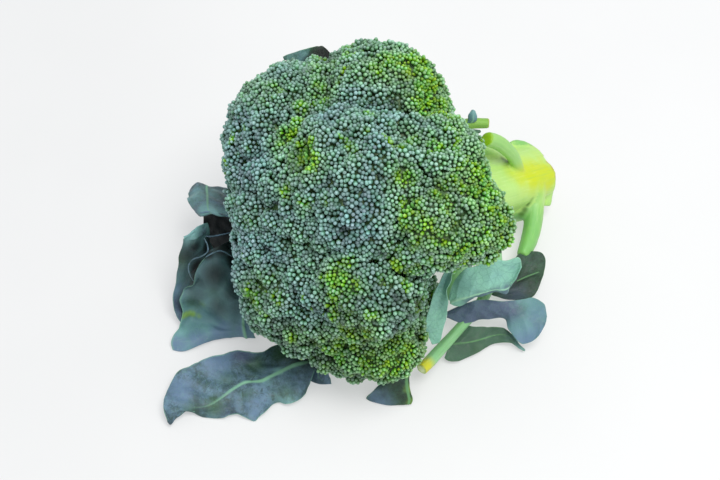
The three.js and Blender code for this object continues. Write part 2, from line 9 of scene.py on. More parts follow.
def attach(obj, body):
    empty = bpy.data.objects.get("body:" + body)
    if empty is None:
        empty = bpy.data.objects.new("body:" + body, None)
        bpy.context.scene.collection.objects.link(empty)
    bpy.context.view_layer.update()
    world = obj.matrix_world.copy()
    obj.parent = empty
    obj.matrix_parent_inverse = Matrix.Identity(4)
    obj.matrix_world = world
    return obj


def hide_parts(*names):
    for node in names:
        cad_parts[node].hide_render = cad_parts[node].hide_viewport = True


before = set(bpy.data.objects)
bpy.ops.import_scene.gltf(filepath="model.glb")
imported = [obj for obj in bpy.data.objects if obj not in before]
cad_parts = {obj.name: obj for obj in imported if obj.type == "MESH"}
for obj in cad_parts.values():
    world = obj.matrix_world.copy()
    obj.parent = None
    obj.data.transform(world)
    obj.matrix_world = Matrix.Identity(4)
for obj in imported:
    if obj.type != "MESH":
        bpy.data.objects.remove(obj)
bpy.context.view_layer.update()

MM = 0.001
SHIFT = np.array([8.86, 0.9, 0.0])  # same as the model's: everything below is in mm before this shift
HUB = np.array([-1.2, 39.0, 45.6])  # where the branches meet in the stalk's top
PITCH = 1.55  # bud spacing
BUD = 0.93  # bud radius
CAP_DEPTH = 25.0

# Primary florets: name, centre, outer radius.
LOBES = [
    ("top_a", (-21, 14.6, 103.2), 22.1),
    ("top_b", (-15.5, 22.6, 105.9), 20.4),
    ("upper_left", (-36.1, -9, 78.3), 36),
    ("left", (-10.2, -23, 71.8), 32.9),
    ("low_left", (8.3, -33.7, 48.9), 31.9),
    ("bottom", (25.2, -25.3, 34.6), 24.1),
    ("bottom_right", (39.7, -20.8, 36.5), 17.5),
    ("right_low", (41.2, 15, 89), 16.5),
    ("right", (22, 16.6, 101.6), 21.7),
    ("centre", (10.3, -8.6, 92.7), 34.8),
    ("centre_right", (42.7, 1, 94.5), 20.7),
    ("low_centre", (37.3, -23.5, 70.1), 23.8),
    ("right_rim", (53.1, 19.9, 89.4), 11.7),
    ("recess", (25.8, 5.3, 34.5), 13.3),
    ("back_left", (-44, -10.4, 52), 26.8),
    ("low_back", (-27, -23, 29.2), 26),
    ("under", (0, -23.4, 24.3), 26.8),
    ("rim_left", (-51, 12.8, 71.1), 19.8),
    ("rim_top_left", (-37.7, 23.6, 93.1), 20.6),
    ("rim_top", (-1.7, 26.2, 97.5), 13.1),
    ("rim_right", (35, 21.6, 66.3), 10.8),
]

# Leaf blades: rows of points from the base to the tip, each row from one margin to the other.
BLADES = {
    "leaf_front": [
        [(16.8, -35.3, 9), (18.7, -37, 8), (19.9, -38.7, 7), (21.7, -40.9, 7), (23.1, -42.7, 7)],
        [(5.7, -38.6, 3), (10.3, -40.9, 2.5), (17.2, -44.3, 6.5), (22.2, -46.3, 5.5), (26.7, -48, 4)],
        [(0.4, -47.4, 4), (6, -48.2, 2), (15.3, -50.9, 6), (25.2, -52.7, 5), (29.9, -51.9, 2.5)],
        [(3, -57.9, 8), (5.8, -57.3, 2.5), (15, -59.3, 6), (23.4, -59.6, 5), (29.7, -59.4, 2)],
        [(0.1, -63.2, 10), (3.7, -63.1, 3.5), (14.2, -65.9, 5.5), (22.6, -66.7, 5), (26.4, -64.5, 1.8)],
        [(-2.3, -70.4, 10.5), (1.7, -69.5, 4.5), (11.5, -71.4, 5.5), (22, -73.9, 4.5), (27.5, -72.2, 1.5)],
        [(-4.5, -78.1, 11), (1.8, -77.5, 6), (12.1, -78.2, 5.5), (20.5, -78, 3.5), (28.5, -76.7, 1)],
        [(-6.3, -85.7, 10), (2, -85.5, 7), (13, -85.1, 5), (17.6, -83.4, 2.5), (22.2, -81.1, 1.5)],
        [(-7.1, -93.3, 8), (2.3, -93, 7), (12.9, -91.5, 4.5), (15.9, -89.9, 2.5), (19.6, -88.1, 1)],
        [(-3.2, -100.8, 7), (4.2, -100.8, 7), (10.4, -98, 5), (12.1, -96.6, 3), (14.1, -95.9, 1)],
        [(2.1, -106, 7), (6, -105.6, 7), (9.6, -104.1, 6.5), (9.7, -102, 5), (9.6, -99.1, 4)],
        [(10.2, -109.1, 3.5), (10.7, -109, 3), (11.8, -108.6, 2.5), (11.6, -107.5, 2.5), (10.7, -106.6, 3)],
    ],
    "leaf_front_bit": [
        [(15.1, -35.9, 6), (18.1, -36.2, 6), (21.4, -36.1, 6)],
        [(18.8, -42.3, 3), (22.7, -40.5, 4), (27, -37.9, 5)],
        [(22.4, -46, 1), (27.1, -43.2, 1.5), (30.5, -39.1, 2.5)],
    ],
    "leaf_front_right": [
        [(42.5, -11.8, 22), (42.7, -9.4, 22), (43.9, -7.6, 22)],
        [(45.1, -14.9, 17), (46.6, -11.8, 18), (46.3, -7.5, 19)],
        [(44.7, -20.2, 10), (47.9, -15.6, 12), (50.1, -11.4, 14.5)],
        [(44.6, -25.7, 5), (49.2, -19.9, 7), (53.3, -12.9, 9)],
        [(44.3, -29.6, 1.5), (50.6, -22.3, 3), (56.9, -13.5, 4)],
        [(47, -28.2, 0.8), (53, -22.3, 1), (57.3, -14.7, 1.5)],
    ],
    "leaf_left": [
        [(-23.9, -89.3, 0.9), (-20.3, -84.6, 0.9), (-19.3, -75, 1.2), (-16.1, -64, 1.5), (-9, -54.5, 2)],
        [(-27.1, -87.9, 3), (-24, -82, 3), (-22, -72.8, 4), (-16.7, -63.9, 4.5), (-10.4, -54.6, 5)],
        [(-31.5, -82, 3.5), (-32.9, -75.3, 2.5), (-27.9, -69.2, 3), (-19.5, -62.8, 5), (-15.4, -52.7, 7)],
        [(-34.8, -77.4, 7), (-34.7, -72.3, 8), (-28.2, -66.9, 10), (-23, -59.5, 10), (-21.4, -49.2, 9)],
        [(-38, -77, 15), (-35.9, -71.5, 15), (-30.4, -64.2, 16), (-27.1, -55.9, 14), (-28.5, -45.1, 11)],
        [(-37.4, -72.3, 19), (-37.3, -68.2, 20), (-33.3, -62, 23), (-31.3, -54.2, 20), (-35.6, -42, 13)],
        [(-37.1, -69.5, 24), (-37.9, -65.3, 26), (-35.9, -59.7, 28), (-35.4, -52.5, 26), (-41.1, -40.2, 17)],
        [(-39.2, -64.4, 29), (-39.5, -62.1, 30), (-38.7, -58.4, 32), (-38.1, -51.7, 31), (-44, -39.7, 23)],
        [(-39.8, -60.1, 34), (-40.4, -58.8, 34), (-39.9, -56.4, 35), (-39.6, -51.5, 35), (-44.3, -40.7, 29)],
    ],
    "leaf_left_outer": [
        [(-32.6, -79.4, 3.4), (-33.1, -78.2, 2.8), (-33.3, -76.7, 2.2), (-33.5, -75.1, 1.6)],
        [(-38.8, -80.2, 9), (-39.1, -78.1, 8), (-39.7, -75.5, 6.2), (-40.4, -72.2, 4.6)],
        [(-42.3, -76.7, 16), (-42.2, -74.3, 14.5), (-43.3, -70.5, 11.5), (-44.3, -66.7, 8.5)],
        [(-45.9, -72.9, 24), (-44.3, -70.2, 24), (-44.2, -65.9, 22), (-46.9, -58.3, 17)],
        [(-48, -69.6, 31), (-46.1, -66.6, 31), (-45.8, -61.9, 29), (-48.9, -53.1, 23)],
        [(-49, -67, 36), (-46.8, -64.7, 36), (-46.6, -60.9, 34.5), (-50.7, -53.2, 29)],
        [(-48.6, -66.4, 39.5), (-48.5, -62.8, 41), (-50, -58.5, 41), (-53.7, -52.5, 36)],
        [(-48.8, -65.5, 38), (-46.8, -63.5, 38), (-46.5, -60.7, 38), (-49.7, -55.7, 35)],
    ],
    "leaf_left_top": [
        [(-80.1, -48.2, 30), (-81.4, -43.2, 32), (-75.1, -41.1, 34), (-72.7, -36.8, 33), (-67.8, -29.1, 31)],
        [(-73.2, -52, 34), (-70.1, -48.7, 37), (-64.6, -45.9, 38.5), (-61.9, -41.7, 38), (-57.6, -33.4, 35)],
        [(-65.4, -54.4, 36), (-61, -52.3, 39), (-57.7, -49.4, 40.5), (-54.9, -45.3, 40), (-50.8, -37.1, 37)],
        [(-60, -53.6, 36), (-56.4, -52.8, 38), (-54.7, -49.5, 40), (-51.6, -46.7, 40), (-47.1, -39.1, 37)],
        [(-62.9, -50, 31), (-61.6, -48.5, 32), (-59.9, -46.3, 33), (-58, -43.2, 33), (-52.4, -36.6, 31)],
        [(-62.1, -51.3, 22), (-60.4, -48.5, 22), (-58.5, -45.4, 22), (-56.5, -42.3, 22), (-51.6, -36.7, 22)],
        [(-61.9, -53.9, 11), (-58.9, -51.4, 11), (-54.6, -48.3, 12), (-50.3, -45.3, 13), (-42.8, -39.8, 16.5)],
        [(-47.5, -60.3, 3), (-43.1, -58.4, 3.5), (-38.5, -55.5, 5), (-33.5, -50.8, 8), (-29, -45.8, 11)],
    ],
    "leaf_top": [
        [(-71, 34, 70.1), (-69.9, 33.2, 67.6), (-68.4, 32.3, 64.9)],
        [(-77.9, 25.6, 84.3), (-75.9, 24.9, 81.3), (-73.7, 24, 78)],
        [(-77.1, 21.5, 88.4), (-75.9, 20.2, 85.7), (-74.3, 18.7, 82.6)],
        [(-76.3, 16.4, 90.9), (-75.1, 15.4, 88.2), (-73.5, 13.8, 85.7)],
        [(-76.4, 9.8, 91.9), (-75.3, 9.9, 89.8), (-73.9, 9.7, 87.4)],
        [(-76, 2.5, 92.3), (-75.8, 2.6, 91.5), (-75.3, 2.8, 90.6)],
    ],
    "leaf_right_upright": [
        [(43.7, 4.9, 15.3), (43.8, 6.8, 14.8), (44.4, 8.2, 15.3)],
        [(40.2, 3.2, 24.3), (42.3, 6.6, 22.8), (43.9, 10.2, 24.3)],
        [(39.2, 4.6, 32.3), (40.3, 9.2, 30.3), (42.9, 12.5, 32.3)],
        [(38.1, 7.6, 40.3), (39.1, 11.1, 38.3), (42.6, 12.8, 40.3)],
        [(38, 9.9, 46.3), (38.1, 13, 44.3), (41.6, 12.6, 46.3)],
        [(37.8, 12.4, 51.3), (38.2, 14.5, 50.3), (41.5, 14.2, 51.3)],
        [(38.5, 14.5, 56.3), (38.7, 15.9, 56.3), (40.9, 15.9, 56.3)],
    ],
    "leaf_right_pale": [
        [(30.8, 22, 24), (31.1, 21.9, 23), (32.1, 21.4, 23), (32.5, 21.5, 22), (33.1, 21.7, 21)],
        [(29.1, 25.9, 31), (30, 25, 29), (31.3, 24.7, 27), (34, 24.1, 24), (35.3, 24.5, 20)],
        [(29.9, 30.9, 37), (32, 29.1, 34), (34.8, 28, 30), (36.4, 28.2, 26), (36.8, 29.3, 22)],
        [(32.6, 35.2, 39), (35.1, 33.8, 35), (38.6, 32.7, 31), (38.9, 33.3, 28), (39.1, 33.9, 25)],
        [(35.2, 40.6, 43), (37.8, 39.2, 37), (41, 38.5, 31), (41.1, 38.6, 29), (41.3, 38.6, 27)],
        [(38.9, 44.9, 42), (40.4, 43.8, 36), (42.2, 43.1, 30), (43.5, 42.9, 28), (44.6, 42.3, 26)],
        [(41.4, 50.5, 43), (41.5, 49.4, 37), (42.9, 46.8, 31), (43.5, 45.5, 29), (44.1, 44.2, 27)],
        [(43.2, 51.2, 39), (43.8, 49.9, 37), (44.1, 47.9, 33), (43.9, 47.1, 32), (44, 46.6, 31)],
    ],
    "leaf_right_long": [
        [(31, 21.4, 13), (32.4, 20.5, 13), (33.1, 20, 12)],
        [(33.1, 26.8, 16), (36, 25.5, 13.5), (38.9, 24.3, 11)],
        [(36.1, 32.6, 19), (39.2, 31.3, 16), (41.4, 31.1, 12)],
        [(39.8, 38.1, 20), (42.8, 36.8, 17), (44.2, 36.7, 12)],
        [(43.8, 43.4, 20), (46.6, 41.7, 17), (47.9, 41.1, 13)],
        [(46.3, 49.9, 19), (50.6, 45.4, 16), (52.8, 40.6, 10)],
        [(48.2, 57, 17), (54.7, 50.2, 15), (59.6, 41.4, 8)],
        [(51, 60.1, 15), (57.6, 54.2, 14), (61.5, 46, 8)],
        [(57, 57.4, 14), (60, 54.2, 13), (61.6, 50.1, 10)],
    ],
    "leaf_right_low": [
        [(38.2, 20, 8), (42, 15.4, 6), (45.8, 10.8, 4)],
        [(38.6, 25.6, 9), (43.4, 18.7, 6), (48, 12.1, 2.6)],
        [(42.1, 29.2, 9), (45.8, 24.2, 5.5), (50, 18.2, 2)],
        [(44.9, 34.3, 8.5), (47.4, 30.7, 5), (50.2, 26.2, 2)],
        [(47.5, 39.1, 8), (48.9, 37.3, 5), (50.4, 34.8, 2.5)],
        [(50.6, 42, 6.5), (52.4, 40.8, 5), (54, 39.8, 3)],
        [(55.6, 43, 4), (57, 42.3, 3.5), (58.1, 41.9, 2.5)],
        [(59.5, 44.2, 2), (60.4, 44.1, 2), (60.7, 43.9, 1.8)],
    ],
    "leaf_lower": [
        [(20.1, 69, 12), (20.9, 71.3, 12), (21.1, 73.9, 12)],
        [(21.3, 64.9, 10), (25.3, 69.8, 11), (25.3, 78.3, 12)],
        [(23.7, 59.9, 8.5), (28.9, 67.4, 9), (30.9, 76.6, 11)],
        [(26.5, 53.6, 7.5), (31.9, 63.7, 8), (35.3, 72.1, 9)],
        [(26.9, 48.9, 6), (34.7, 59.5, 6.5), (38.9, 66.8, 7.5)],
        [(27, 47.2, 5), (33.7, 54.8, 4.5), (39.3, 63.1, 5)],
        [(29.3, 49, 4), (34, 54.2, 3), (38.1, 60.2, 3)],
    ],
    "leaf_shoot_tip": [
        [(-10.8, 54.7, 76.9), (-10.4, 56.1, 77.3), (-10, 57.6, 77.6)],
        [(-9.5, 56.3, 80.6), (-8.3, 57.5, 81.6), (-7.6, 59.2, 80.6)],
        [(-10.5, 57.1, 83), (-9.2, 58.2, 83.8), (-8.3, 60, 82.7)],
        [(-10.5, 58.5, 85), (-10.4, 59.3, 85.2), (-9.5, 59.8, 84.8)],
    ],
    "leaf_shoot_low": [
        [(-11.3, 54, 77.6), (-10.7, 54.2, 77.3), (-10.2, 54.3, 77)],
        [(-6.9, 53.4, 80.1), (-5.2, 52.8, 80), (-4.7, 53.1, 78.4)],
        [(-4.3, 55.3, 80.4), (-2.9, 54.6, 80.4), (-2.5, 55, 79)],
        [(-3.1, 58.2, 79.5), (-2.7, 58.2, 79.2), (-2.3, 58.2, 79)],
    ],
}

# Stalk and leaf stalks: points along the centre line with the radius at each.
STEMS = {
    "stalk": [
        (-15.9, 100, 13.2, 15.6),
        (-12.7, 86.5, 20.3, 16),
        (-9.5, 73, 27.4, 15.6),
        (-6.4, 59.5, 34.6, 16.5),
        (-3.2, 46, 41.7, 19.5),
        (0, 32.5, 48.8, 21),
    ],
    "petiole_right": [
        (50.3, -4.7, 12, 3.4),
        (48.4, 0.8, 11.5, 3.2),
        (45.5, 8, 11, 3),
        (42.3, 15.5, 10, 2.9),
        (39.3, 22.9, 9.5, 2.8),
        (36.2, 32.6, 11, 2.7),
        (33.7, 42.7, 16, 2.9),
        (30.4, 54.5, 22, 3.2),
        (21.8, 64.5, 28, 3.6),
    ],
    "petiole_lower": [
        (-3.9, 91.8, 27, 4.8),
        (0.5, 93.5, 19, 4.9),
        (6.8, 89.7, 14.5, 4.6),
        (14.3, 82.4, 12, 4),
        (20.5, 72.2, 11, 2.8),
    ],
    "petiole_upper": [
        (-4, 85.3, 34.8, 6.6),
        (-6.5, 80.4, 44.8, 5.6),
        (-7.1, 73.1, 56.3, 4.3),
        (-6.8, 64.3, 67.9, 3.1),
    ],
    "shoot_upper": [
        (-12.7, 48.2, 75.4, 2.4),
        (-10.8, 56.3, 77.6, 2.4),
        (-7.3, 65.1, 76.5, 2.2),
    ],
    "petiole_left": [
        (-35.6, -42, 13, 1.9),
        (-46, -32, 10, 2.3),
        (-49, -14, 8, 2.7),
        (-39, 14, 11, 3.2),
        (-20, 44, 26, 3.9),
    ],
    "petiole_front": [
        (19.9, -38.7, 7, 2),
        (25, -14, 6.5, 2.5),
        (25, 12, 8.5, 3),
        (17, 40, 20, 3.6),
    ],
    "petiole_top": [
        (-69.9, 33.2, 67.6, 1.8),
        (-46.4, 45.6, 62.8, 2.4),
        (-17, 50, 58, 3),
    ],
}

# Young yellow-green bud patches: place, radius, strength, how far they sit in a hollow.
YOUNG = [
    (7, -29.4, 117.6, 4.1, 1, 3),
    (14.4, -31.1, 118.4, 3.1, 1, 2.5),
    (0.4, -27.4, 115.8, 2.3, 0.6, 1),
    (-10.3, -27.4, 110.3, 3.7, 0.9, 1.2),
    (-18.8, -8.1, 115.2, 3.3, 0.7, 1),
    (-20.7, -14.6, 114.2, 2.8, 0.5, 0.8),
    (-23.5, -4.3, 115.6, 2.4, 0.5, 0.8),
    (24, -39.4, 107.3, 2.7, 0.5, 1),
    (11.1, -41, 104.8, 2.7, 0.5, 0.8),
    (1.2, -54.2, 82.5, 2.3, 0.4, 0.6),
    (-8.1, 15.1, 128.3, 3.2, 0.5, 0.6),
    (-7, 22.9, 128.7, 3.3, 0.6, 0.8),
    (-2.9, 28.1, 127.1, 3.3, 0.8, 1),
    (-3, 36.1, 123.1, 3.8, 1, 1.2),
    (3.1, 36.6, 119.8, 4.2, 1, 1.4),
    (9.6, 31.3, 118.3, 4.2, 1, 1.4),
    (12.2, 24.7, 118.9, 3.2, 0.9, 1.2),
    (14.2, 31.3, 114.9, 3.3, 0.8, 1),
    (5.9, 28.2, 123, 2.8, 0.7, 0.8),
    (9.1, 0.4, 125.2, 2.3, 0.4, 0.8),
    (27.5, 6.8, 124.2, 2.7, 0.5, 0.8),
    (35.9, 13.9, 123.1, 3.1, 0.6, 1),
    (29.6, 25.3, 122.1, 2.7, 0.5, 1),
    (41.7, -3.7, 119.7, 3.1, 0.8, 1),
    (51.3, -8, 114.1, 3.5, 0.7, 1),
    (54.3, -13.9, 108.9, 3.1, 0.6, 1),
    (61.2, -7.6, 110.7, 3.5, 0.7, 1),
    (53.1, 5, 116.7, 2.7, 0.7, 0.8),
    (60, 4.6, 114.3, 2.6, 0.6, 0.8),
    (68, -3.6, 106.7, 3.1, 0.8, 1),
    (73.1, 3.6, 98.8, 4, 0.9, 1),
    (73, 9.7, 99.7, 3.1, 0.8, 0.8),
    (56.7, 20.2, 111.7, 3.1, 0.9, 0.8),
    (52.4, 28.7, 108.6, 4.1, 1, 1),
    (62.6, 24.6, 105.9, 3.2, 0.8, 0.6),
    (68, 25.9, 101.4, 2.7, 0.7, 0.5),
    (67, 5.7, 109.4, 2.6, 0.6, 0.8),
    (59.8, -19.9, 92.9, 3.1, 0.7, 1),
    (65.3, -14.1, 89.9, 2.2, 0.6, 1),
    (48.3, -40.3, 87.4, 4, 0.8, 1.2),
    (54.6, -37.3, 87.7, 3.1, 0.7, 1),
    (51, -44.4, 79.8, 3.2, 0.6, 1),
    (18.8, -63.8, 57.7, 3.8, 0.6, 0.8),
    (20, -60.1, 66.5, 2.8, 0.5, 0.8),
    (28.9, -57.3, 67, 2.3, 0.4, 0.8),
    (54.1, -39.6, 49.8, 3.8, 0.7, 1),
    (64.3, -37.8, 66.5, 3.2, 0.6, 1),
    (63.7, -25.9, 53.1, 3.7, 0.8, 1),
    (52.3, -43, 39.6, 3.3, 0.6, 1),
    (66.4, -24.5, 38.5, 3.8, 0.9, 1),
    (62.1, -32.6, 42.2, 3.3, 0.7, 1),
    (65.8, -17.8, 42.7, 3.3, 0.7, 1),
    (57.1, -18.3, 100.2, 2.7, 0.5, 0.8),
    (51.9, 14.7, 116.2, 2.7, 0.5, 0.8),
    (58.8, -42.3, 75.4, 2.7, 0.5, 0.8),
    (65.8, -34.2, 77.4, 2.7, 0.5, 0.8),
    (52.4, -29.1, 94.9, 2.2, 0.4, 0.8),
    (73.4, 22.5, 96.8, 2.7, 0.7, 0.5),
    (70.7, 16.8, 102.6, 2.7, 0.6, 0.5),
    (29.6, -34.4, 112.6, 2.2, 0.3, 0.5),
    (24.6, -16.3, 126, 2.2, 0.3, 0.5),
]

# Clefts between the heads: place and radius; buds in a cleft sink back and get painted shade, but a negative radius
# only sinks them.
CLEFTS = [
    (-38.2, 7.4, 111.5, 3.6),
    (-46.2, 1.3, 108.2, -5),
    (-43.4, 3.1, 109.5, -5.5),
    (-42.6, 5.6, 109.5, -5.5),
    (-42, 7.7, 109.6, -5),
    (73.1, -0.2, 92.1, -3.5),
    (73.6, 2.7, 92, -4),
    (74.2, 6.6, 91.9, -5),
    (74.7, 10.5, 91.7, -4.5),
    (75.3, 15.3, 91.7, -4.5),
    (75.4, 21.2, 89.8, -4),
    (-41.3, 10.7, 109.7, 3.4),
    (-28.6, 2.7, 115.9, 3.4),
    (-18.5, -3.4, 117, 3.5),
    (-8.2, -7.7, 117.6, 3),
    (-0.1, -3.3, 122.2, 3),
    (2.8, 5.3, 122.8, 2.5),
    (7.3, 13.3, 122.4, 2.5),
    (12.8, 14.6, 120.8, 3),
    (7.6, -33.1, 114.5, 4),
    (13.7, -34.3, 115, 3.5),
    (3.3, -30.5, 114.9, 2.5),
    (64.1, -5.6, 74.1, 4),
    (67.5, -11.5, 70.1, 5),
    (61.9, -7.7, 40.6, 4),
    (64.3, 10.3, 110.9, 3),
    (67.3, 13.1, 107.4, 3),
    (67, 5.7, 109.4, 3),
    (45.3, -49.7, 46.9, 3),
    (44.2, -48.4, 34.1, 3),
    (37.6, -13, 121.8, 2.6),
    (56.4, -16.6, 104.3, 3),
    (55.1, -22, 96.8, 3),
    (42.9, -31.3, 104.2, 2.5),
    (13.8, -54, 78.7, 2.5),
    (8.9, -46.6, 95.2, 2.5),
    (27.3, -29.3, 118.9, 2.5),
    (19.6, -15.4, 126.7, 2.5),
    (67.1, -22, 82, 3),
    (45.8, -25, 107.9, 2.2),
    (35, -29.5, 114.8, 2.2),
    (21, -47.1, 87.8, 2.4),
    (42.9, -18.6, 115.9, 2.2),
    (32.8, -42.4, 90.6, 2.4),
    (37.6, -22.1, 118.6, 2),
    (-8.5, -46, 95.3, 2.2),
    (-20, -26.9, 109.8, 2.2),
]

rng = np.random.default_rng(20)
LATTICE = np.random.default_rng(3).random((32, 32, 32))


def noise(p, scale, shift=0.0):
    """Smooth noise, -1 to 1, at points p with features about scale mm across."""
    q = np.asarray(p, float) / scale + 311.7 + shift
    i = np.floor(q).astype(int)
    f = q - i
    f = f * f * (3 - 2 * f)
    out = np.zeros(len(q))
    for a in (0, 1):
        for b in (0, 1):
            for c in (0, 1):
                w = (f[:, 0] if a else 1 - f[:, 0]) * (f[:, 1] if b else 1 - f[:, 1]) * (f[:, 2] if c else 1 - f[:, 2])
                out += w * LATTICE[(i[:, 0] + a) % 32, (i[:, 1] + b) % 32, (i[:, 2] + c) % 32]
    return 2 * out - 1


def spline(nodes, t):
    """Catmull-Rom through nodes (n, k) at parameters t."""
    nodes = np.asarray(nodes, float)
    n = len(nodes)
    i = np.minimum(np.floor(t).astype(int), n - 2)
    u = (t - i)[:, None]
    g = lambda k: nodes[np.clip(k, 0, n - 1)]
    a, b, c, d = g(i - 1), g(i), g(i + 1), g(i + 2)
    return 0.5 * (2 * b + (c - a) * u + (2 * a - 5 * b + 4 * c - d) * u * u + (3 * b - a - 3 * c + d) * u**3)


def unit(v):
    v = np.asarray(v, float)
    return v / np.maximum(np.linalg.norm(v, axis=-1, keepdims=True), 1e-12)


def make(name, verts, faces, attrs=None, material=None, replaces=None):
    """A smooth mesh object from points in mm, on the body that never moves."""
    me = bpy.data.meshes.new(name)
    verts = (np.asarray(verts, float) + SHIFT) * MM
    me.vertices.add(len(verts))
    me.vertices.foreach_set("co", verts.astype(np.float32).ravel())
    loops = np.concatenate([np.asarray(f).ravel() for f in faces]).astype(np.int32)
    sizes = np.concatenate([np.full(len(f), np.asarray(f).shape[1]) for f in faces])
    starts = np.concatenate([[0], np.cumsum(sizes)[:-1]]).astype(np.int32)
    me.loops.add(len(loops))
    me.loops.foreach_set("vertex_index", loops)
    me.polygons.add(len(sizes))
    me.polygons.foreach_set("loop_start", starts)
    me.update(calc_edges=True)
    me.validate()
    me.polygons.foreach_set("use_smooth", np.ones(len(me.polygons), bool))
    for key, value in (attrs or {}).items():
        me.attributes.new(key, "FLOAT", "POINT").data.foreach_set("value", np.asarray(value, np.float32))
    ob = bpy.data.objects.new(name, me)
    bpy.context.scene.collection.objects.link(ob)
    if material:
        me.materials.append(material)
    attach(ob, "root")
    if replaces:
        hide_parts(replaces)
    return ob


# ---------------------------------------------------------------- materials


def srgb(r, g, b):
    f = lambda c: c / 12.92 if c <= 0.04045 else ((c + 0.055) / 1.055) ** 2.4
    return (f(r / 255), f(g / 255), f(b / 255), 1.0)


class Nodes:
    """A short way to write a node material."""

    def __init__(self, name):
        self.mat = bpy.data.materials.new(name)
        self.mat.use_nodes = True
        self.t = self.mat.node_tree
        self.bsdf = self.t.nodes["Principled BSDF"]

    def put(self, socket, value):
        if isinstance(value, bpy.types.NodeSocket):
            self.t.links.new(value, socket)
        else:
            socket.default_value = value

    def node(self, kind, inputs=None, out=0, **props):
        n = self.t.nodes.new(kind)
        for k, v in props.items():
            setattr(n, k, v)
        for k, v in (inputs or {}).items():
            self.put(n.inputs[k], v)
        return n.outputs[out]

    def attr(self, name):
        return self.node("ShaderNodeAttribute", out=2, attribute_name=name)

    def place(self):
        return self.node("ShaderNodeNewGeometry", out=0)

    def noise(self, scale, detail=2.0, rough=0.5, at=None, distortion=0.0):
        return self.node(
            "ShaderNodeTexNoise",
            {"Vector": at or self.place(), "Scale": scale, "Detail": detail, "Roughness": rough, "Distortion": distortion},
        )

    def cells(self, scale, at=None, feature="F1", out=0):
        return self.node("ShaderNodeTexVoronoi", {"Vector": at or self.place(), "Scale": scale}, out=out, feature=feature)

    def math(self, op, a, b=0.0, c=0.0, clamp=False):
        return self.node("ShaderNodeMath", {0: a, 1: b, 2: c}, operation=op, use_clamp=clamp)

    def ramp(self, x, lo, hi, a=0.0, b=1.0):
        return self.node(
            "ShaderNodeMapRange",
            {"Value": x, "From Min": lo, "From Max": hi, "To Min": a, "To Max": b},
            interpolation_type="SMOOTHSTEP",
        )

    def mix(self, f, a, b, how="MIX"):
        n = self.t.nodes.new("ShaderNodeMix")
        n.data_type = "RGBA"
        n.blend_type = how
        self.put(n.inputs[0], f)
        self.put(n.inputs[6], a)
        self.put(n.inputs[7], b)
        return n.outputs[2]

    def tune(self, color, hue=0.5, sat=1.0, val=1.0):
        return self.node("ShaderNodeHueSaturation", {"Color": color, "Hue": hue, "Saturation": sat, "Value": val})

    def bump(self, height, strength, distance):
        return self.node("ShaderNodeBump", {"Height": height, "Strength": strength, "Distance": distance})


def bud_material():
    n = Nodes("broccoli_buds")
    rise, tint, young, side = n.attr("rise"), n.attr("tint"), n.attr("young"), n.attr("side")
    # Each bud runs from a dark foot to a pale tip: partly its own colour and wax bloom, partly painted shade at the
    # foot and a painted top light.
    tip = n.mix(side, srgb(136, 175, 177), srgb(146, 190, 134))
    flank = n.mix(side, srgb(84, 122, 116), srgb(92, 144, 76))
    base = n.mix(side, srgb(58, 94, 72), srgb(74, 124, 42))
    tip = n.mix(n.ramp(young, 0.22, 0.85, 0.0, 0.88), tip, srgb(138, 190, 72))
    flank = n.mix(n.ramp(young, 0.06, 0.55), flank, srgb(104, 166, 26))
    base = n.mix(n.ramp(young, 0.0, 0.42), base, srgb(88, 150, 12))
    wax = n.noise(900.0, 3.0, 0.6)
    up = n.math("ADD", rise, n.math("MULTIPLY", n.math("SUBTRACT", wax, 0.5), 0.35))
    color = n.mix(n.ramp(up, 0.0, 0.45), base, flank)
    color = n.mix(n.ramp(up, 0.4, 0.9), color, tip)
    # The sepals' tips close over a slightly darker middle.
    color = n.mix(n.ramp(rise, 0.9, 1.0, 0.0, 0.45), color, flank)
    patch = n.noise(70.0, 2.0)
    # Buds darken with painted shade in the clefts, low on the crown and between clumps.
    color = n.tune(
        color,
        hue=n.ramp(n.math("ADD", n.math("MULTIPLY", tint, 0.6), n.math("MULTIPLY", patch, 0.4)), 0.1, 0.9, 0.47, 0.54),
        sat=n.ramp(tint, 0.0, 1.0, 1.15, 0.85),
        val=n.math("MULTIPLY", n.ramp(n.math("FRACT", n.math("MULTIPLY", tint, 7.31)), 0.0, 1.0, 0.8, 1.17), n.math("SUBTRACT", 1.0, n.attr("painted_shade"))),
    )
    n.put(n.bsdf.inputs["Base Color"], color)
    n.put(n.bsdf.inputs["Roughness"], n.ramp(wax, 0.3, 0.7, 0.46, 0.64))
    n.put(n.bsdf.inputs["Specular IOR Level"], 0.38)
    fine = n.noise(1600.0, 3.0, 0.6)
    n.put(n.bsdf.inputs["Normal"], n.bump(fine, 0.25, 0.00012))
    return n.mat


